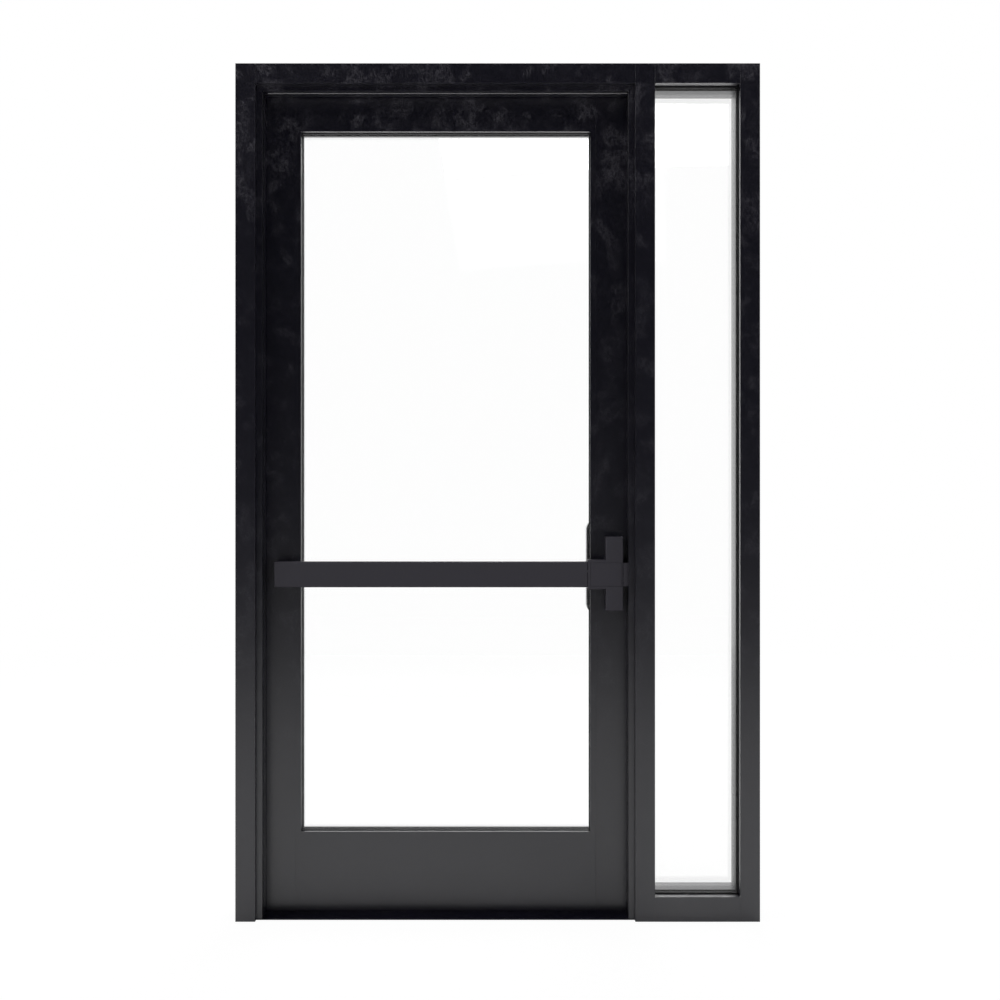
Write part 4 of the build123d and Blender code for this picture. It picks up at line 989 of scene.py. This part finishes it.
@dataclass
class Hinges:
    """The turned pins and the screws of the three butt hinges.

    The axis is the pins' place across and through the door, and rear is the face that the screws' rows
    are measured from. A row is a depth from there and a rise from the hinge's middle. The pin's profile
    has a chamfered tip, a relief under the head and a crowned head, as pairs of radius and height.
    """

    heights: tuple[float, ...] = (0.260, 1.1202, 1.9804)
    axis: Span = (-0.6243, 0.06415)
    rear: float = 0.05715
    rows: tuple[Span, ...] = ((0.012, -0.042), (0.026, -0.016), (0.012, 0.016), (0.026, 0.042))
    frame_face: float = -0.6259
    door_face: float = -0.6227
    form: ScrewForm = ScrewForm(head=0.00459, shank=0.0024, length=0.009)
    pin_steps: int = 40
    pin_profile: tuple[Span, ...] = (
        (0.0022, -0.057), (0.0030, -0.0567), (0.0034, -0.0559), (0.0034, 0.0562), (0.0031, 0.0566),
        (0.0031, 0.057), (0.0051, 0.057), (0.0054, 0.0573), (0.0054, 0.0591), (0.0051, 0.0596),
        (0.0042, 0.0599), (0.0022, 0.06))

    def pins(self, model: PackedModel) -> None:
        """Makes the three pins.

        Args:
            model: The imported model.
        """
        draft = Draft()
        for height in self.heights:
            draft.turn(self.pin_profile, Matrix.Translation((*self.axis, height)), self.pin_steps)
        draft.piece("turned_pins", model.finish("hinge_pins"), Body.FRAME, "hinge_pins")

    def screws(self, name: str, node: str, body: Body, face: float) -> FlatScrews:
        """Sets out the screws of one side's leaves.

        Args:
            name: The group's name.
            node: The node that it stands for.
            body: The body that it rides on.
            face: The face of the leaves, across the door. The screws go in away from the pins' axis.

        Returns:
            The group of screws.
        """
        places = [(face, self.rear - depth, height + rise)
                  for height in self.heights for depth, rise in self.rows]
        way = (math.copysign(1.0, face - self.axis[0]), 0.0, 0.0)
        return FlatScrews(name, node, body, self.form, places, way)

    def build(self, model: PackedModel) -> None:
        """Makes the pins and both groups of screws.

        Args:
            model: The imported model.
        """
        self.pins(model)
        for group in (
                self.screws("frame_leaf_screws", "frame_hinge_screws", Body.FRAME, self.frame_face),
                self.screws("door_leaf_screws", "door_hinge_screws", Body.LEAF, self.door_face)):
            group.build(model)


@dataclass(frozen=True)
class GasketStrip:
    """One gasket's section: where its face and its glass side lie through the door, and its width."""

    face: float
    glass: float
    width: float


@dataclass
class GlazingGaskets:
    """Rubber gaskets with a rounded lip on the glass and corners cut at 45 degrees.

    The lip's profile runs from the face to the glass, as pairs of a step back from the full width in lip
    sizes and a share of the way to the glass.
    """

    name: str
    node: str
    body: Body
    across: Span
    upright: Span
    strips: tuple[GasketStrip, ...]
    lip: float = 0.0009
    lip_profile: tuple[Span, ...] = (
        (1.6, 0.0), (0.9, 0.12), (1.1, 0.45), (0.4, 0.62), (0.0, 0.82), (0.25, 0.96), (0.8, 1.0))

    def build(self, model: PackedModel) -> None:
        """Makes one mitred run for each strip.

        Args:
            model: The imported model.
        """
        draft = Draft()
        for strip in self.strips:
            rise = strip.glass - strip.face
            lip = [(strip.width - back * self.lip, strip.face + share * rise)
                   for back, share in self.lip_profile]
            draft.mitre(self.across, self.upright, [(0.0, strip.face), *lip, (0.0, strip.glass)])
        draft.piece(self.name, model.finish(self.node), self.body, self.node)


@dataclass
class BrushSeal:
    """Runs of brush: a rounded backing strip with rows of fibres standing on it.

    A run is a box, given by its lowest and highest corners. The backing's outline is in shares of the
    box, as pairs of a rise towards the tips and a place across. A fibre's foot is scattered within its
    own step and lane, and its tip leans by shares of the spacing.
    """

    name: str
    node: str
    body: Body
    runs: tuple[tuple[Point, Point], ...]
    tips: tuple[Point, ...]
    rows: int
    spacing: float = 0.0009
    fibre: float = 0.00032
    backing: tuple[Span, ...] = (
        (0.0, 0.02), (0.0, 0.98), (0.16, 1.0), (0.24, 0.92), (0.24, 0.08), (0.16, 0.0))
    foot_rise: float = 0.2
    tip_rises: Span = (0.93, 1.0)
    first_step: float = 0.25
    step_scatter: float = 0.5
    lane_scatter: float = 0.3
    lean_along: float = 0.8
    lean_across: float = 0.4
    spike_corners: tuple[Span, ...] = ((0.0, 1.0), (-0.87, -0.5), (0.87, -0.5))

    def run(self, draft: Draft, low: Vector, high: Vector, way: Vector, dice: random.Random) -> None:
        """Adds one run.

        Args:
            draft: Where the mesh goes.
            low: The run's lowest corner.
            high: Its highest corner.
            way: Where the fibres point.
            dice: The source of the fibres' small differences.
        """
        size = high - low
        tall = max(range(3), key=lambda axis: abs(way[axis]))
        along = max(range(3), key=lambda axis: size[axis])
        wide = 3 - tall - along
        base = low[tall] if way[tall] > 0.0 else high[tall]
        rise = size[tall] * way[tall]
        rings = [[self.point({along: end, tall: base + rise * height, wide: low[wide] + size[wide] * side})
                  for height, side in self.backing] for end in (low[along], high[along])]
        draft.skin(rings)
        count = int(size[along] / self.spacing)
        margin = 2.0 * self.fibre
        for row in range(self.rows):
            lane = low[wide] + margin + (size[wide] - 2.0 * margin) * (row + 0.5) / self.rows
            for i in range(count):
                step = i + self.first_step + self.step_scatter * dice.random()
                aside = self.scatter(dice, self.lane_scatter) * size[wide] / self.rows
                foot = self.point({along: low[along] + step * size[along] / count,
                                   tall: base + self.foot_rise * rise, wide: lane + aside})
                tip = foot.copy()
                tip[tall] = base + rise * dice.uniform(*self.tip_rises)
                for axis, lean in ((along, self.lean_along), (wide, self.lean_across)):
                    leant = tip[axis] + self.scatter(dice, lean) * self.spacing
                    tip[axis] = min(max(leant, low[axis]), high[axis])
                self.spike(draft, foot, tip, along, wide)

    @staticmethod
    def scatter(dice: random.Random, reach: float) -> float:
        """Returns a random share up to a reach either way."""
        return dice.uniform(-reach, reach)

    @staticmethod
    def point(places: dict[int, float]) -> Vector:
        """Returns the point that has these places along the three axes."""
        return Vector([places[axis] for axis in range(3)])

    def spike(self, draft: Draft, foot: Vector, tip: Vector, along: int, wide: int) -> None:
        """Adds one tapered fibre with three sides.

        Args:
            draft: Where the mesh goes.
            foot: The middle of its foot.
            tip: Its tip.
            along: The axis along the run.
            wide: The axis across the run.
        """
        point = draft.mesh.verts.new(tip)
        corners = []
        for side, reach in self.spike_corners:
            corner = foot.copy()
            corner[along] += side * self.fibre
            corner[wide] += reach * self.fibre
            corners.append(draft.mesh.verts.new(corner))
        for i, corner in enumerate(corners):
            draft.mesh.faces.new((corner, corners[(i + 1) % len(corners)], point))
        draft.mesh.faces.new(corners[::-1])

    def build(self, model: PackedModel) -> None:
        """Makes all the runs as one piece.

        Args:
            model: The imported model.
        """
        draft = Draft()
        dice = random.Random(self.name)
        for (low, high), way in zip(self.runs, self.tips):
            self.run(draft, Vector(low), Vector(high), Vector(way), dice)
        draft.piece(self.name, model.finish(self.node), self.body, self.node)


@dataclass
class Seals:
    """The door's brushes and the gaskets of both panes.

    The header's brush and the sweep are given by their spans across, through the door and upright. The
    strike's gap is the stretch of the lock side that has no brush.
    """

    stop_depth: Span = (-0.02765, -0.02365)
    hinge_side: Span = (-0.613, -0.6084)
    lock_side: Span = (0.3376, 0.3422)
    strike_gap: Span = (0.863, 0.925)
    bottom: float = 0.003
    top: float = 2.1456
    header_across: Span = (-0.599, 0.3372)
    header_upright: Span = (2.1461, 2.1507)
    stop_rows: int = 4
    sweep: tuple[Span, Span, Span] = ((-0.5317, 0.2574), (0.02775, 0.03575), (0.0033, 0.011))
    sweep_rows: int = 7

    lite_across: Span = (0.3999, 0.6319)
    lite_upright: Span = (0.0575, 2.1696)
    lite_strips: tuple[GasketStrip, ...] = (GasketStrip(face=-0.03365, glass=-0.02885, width=0.0095),
                                            GasketStrip(face=0.00135, glass=-0.00345, width=0.007))
    door_across: Span = (-0.5277, 0.2534)
    door_upright: Span = (0.2045, 2.0684)
    door_strips: tuple[GasketStrip, ...] = (GasketStrip(face=0.01555, glass=0.01905, width=0.0107),
                                            GasketStrip(face=0.04795, glass=0.04445, width=0.0107))

    @staticmethod
    def box(across: Span, through: Span, upright: Span) -> tuple[Point, Point]:
        """Returns the lowest and highest corners of a box given by its three spans."""
        return tuple(zip(across, through, upright))

    def brushes(self) -> tuple[BrushSeal, ...]:
        """Sets out the brushes of the stops and of the door's foot.

        Returns:
            The brushes, in the order in which they are made.
        """
        right, left, down = (1.0, 0.0, 0.0), (-1.0, 0.0, 0.0), (0.0, 0.0, -1.0)
        sides = (self.box(self.hinge_side, self.stop_depth, (self.bottom, self.top)),
                 self.box(self.lock_side, self.stop_depth, (self.bottom, self.strike_gap[0])),
                 self.box(self.lock_side, self.stop_depth, (self.strike_gap[1], self.top)))
        head = self.box(self.header_across, self.stop_depth, self.header_upright)
        foot = self.box(*self.sweep)
        return (BrushSeal("side_brushes", "side_stop_piles", Body.FRAME, sides, (right, left, left),
                          self.stop_rows),
                # The header's brush takes the grey pile finish, whose near-white fibres are a painted
                # highlight.
                BrushSeal("header_brush", "header_stop_pile", Body.FRAME, (head,), (down,), self.stop_rows),
                BrushSeal("foot_brush", "door_sweep", Body.LEAF, (foot,), (down,), self.sweep_rows))

    def gaskets(self) -> tuple[GlazingGaskets, ...]:
        """Sets out the gaskets of the sidelite and of the door.

        Returns:
            The gaskets, in the order in which they are made.
        """
        return (GlazingGaskets("sidelite_lipped_gaskets", "sidelite_gaskets", Body.FRAME,
                               self.lite_across, self.lite_upright, self.lite_strips),
                GlazingGaskets("door_lipped_gaskets", "door_gaskets", Body.LEAF,
                               self.door_across, self.door_upright, self.door_strips))

    def build(self, model: PackedModel) -> None:
        """Makes every brush and gasket.

        Args:
            model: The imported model.
        """
        for seal in (*self.brushes(), *self.gaskets()):
            seal.build(model)


@dataclass
class CarriedParts:
    """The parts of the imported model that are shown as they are, with softened edges and a finish."""

    model: PackedModel
    softening: dict[str, float] = field(default_factory=lambda: {
        "frame_coat": 0.00025, "device_coat": 0.0008, "hinge_coat": 0.0006, "latch_steel": 0.0006,
        "cylinder_metal": 0.0004})
    merge_distance: float = 0.00001
    sharp_angle: float = 50.0
    segments: int = 2

    def dress(self) -> None:
        """Gives each part its finish, and rounds the edges of the hard ones."""
        for name, part in self.model.frame["nodes"].items():
            finish = self.model.finish(name)
            part.data.materials.clear()
            part.data.materials.append(finish.material())
            for polygon in part.data.polygons:
                polygon.material_index = 0
            if finish.slot in self.softening:
                self.soften(part, self.softening[finish.slot])
            LOG.info("carried %s with %s", name, finish.slot)

    def soften(self, part: bpy.types.Object, width: float) -> None:
        """Rounds a part's sharp edges.

        Args:
            part: The part's object.
            width: How wide the rounding is.
        """
        weld = part.modifiers.new("weld", "WELD")
        weld.merge_threshold = self.merge_distance
        bevel = part.modifiers.new("soft edges", "BEVEL")
        bevel.width = width
        bevel.segments = self.segments
        bevel.limit_method = "ANGLE"
        bevel.angle_limit = math.radians(self.sharp_angle)
        bevel.harden_normals = True


def main() -> None:
    """Builds the scene in order and reports each piece."""
    logging.basicConfig(level=logging.INFO, format="%(name)s: %(message)s")
    bpy.context.scene.view_settings.view_transform = "Standard"
    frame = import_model()
    model = PackedModel(frame)
    Studio().build()
    CarriedParts(model).dress()
    ReturnSprings().build(model)
    Strike().build(model)
    Hinges().build(model)
    Seals().build(model)


if __name__ == "__main__":
    main()
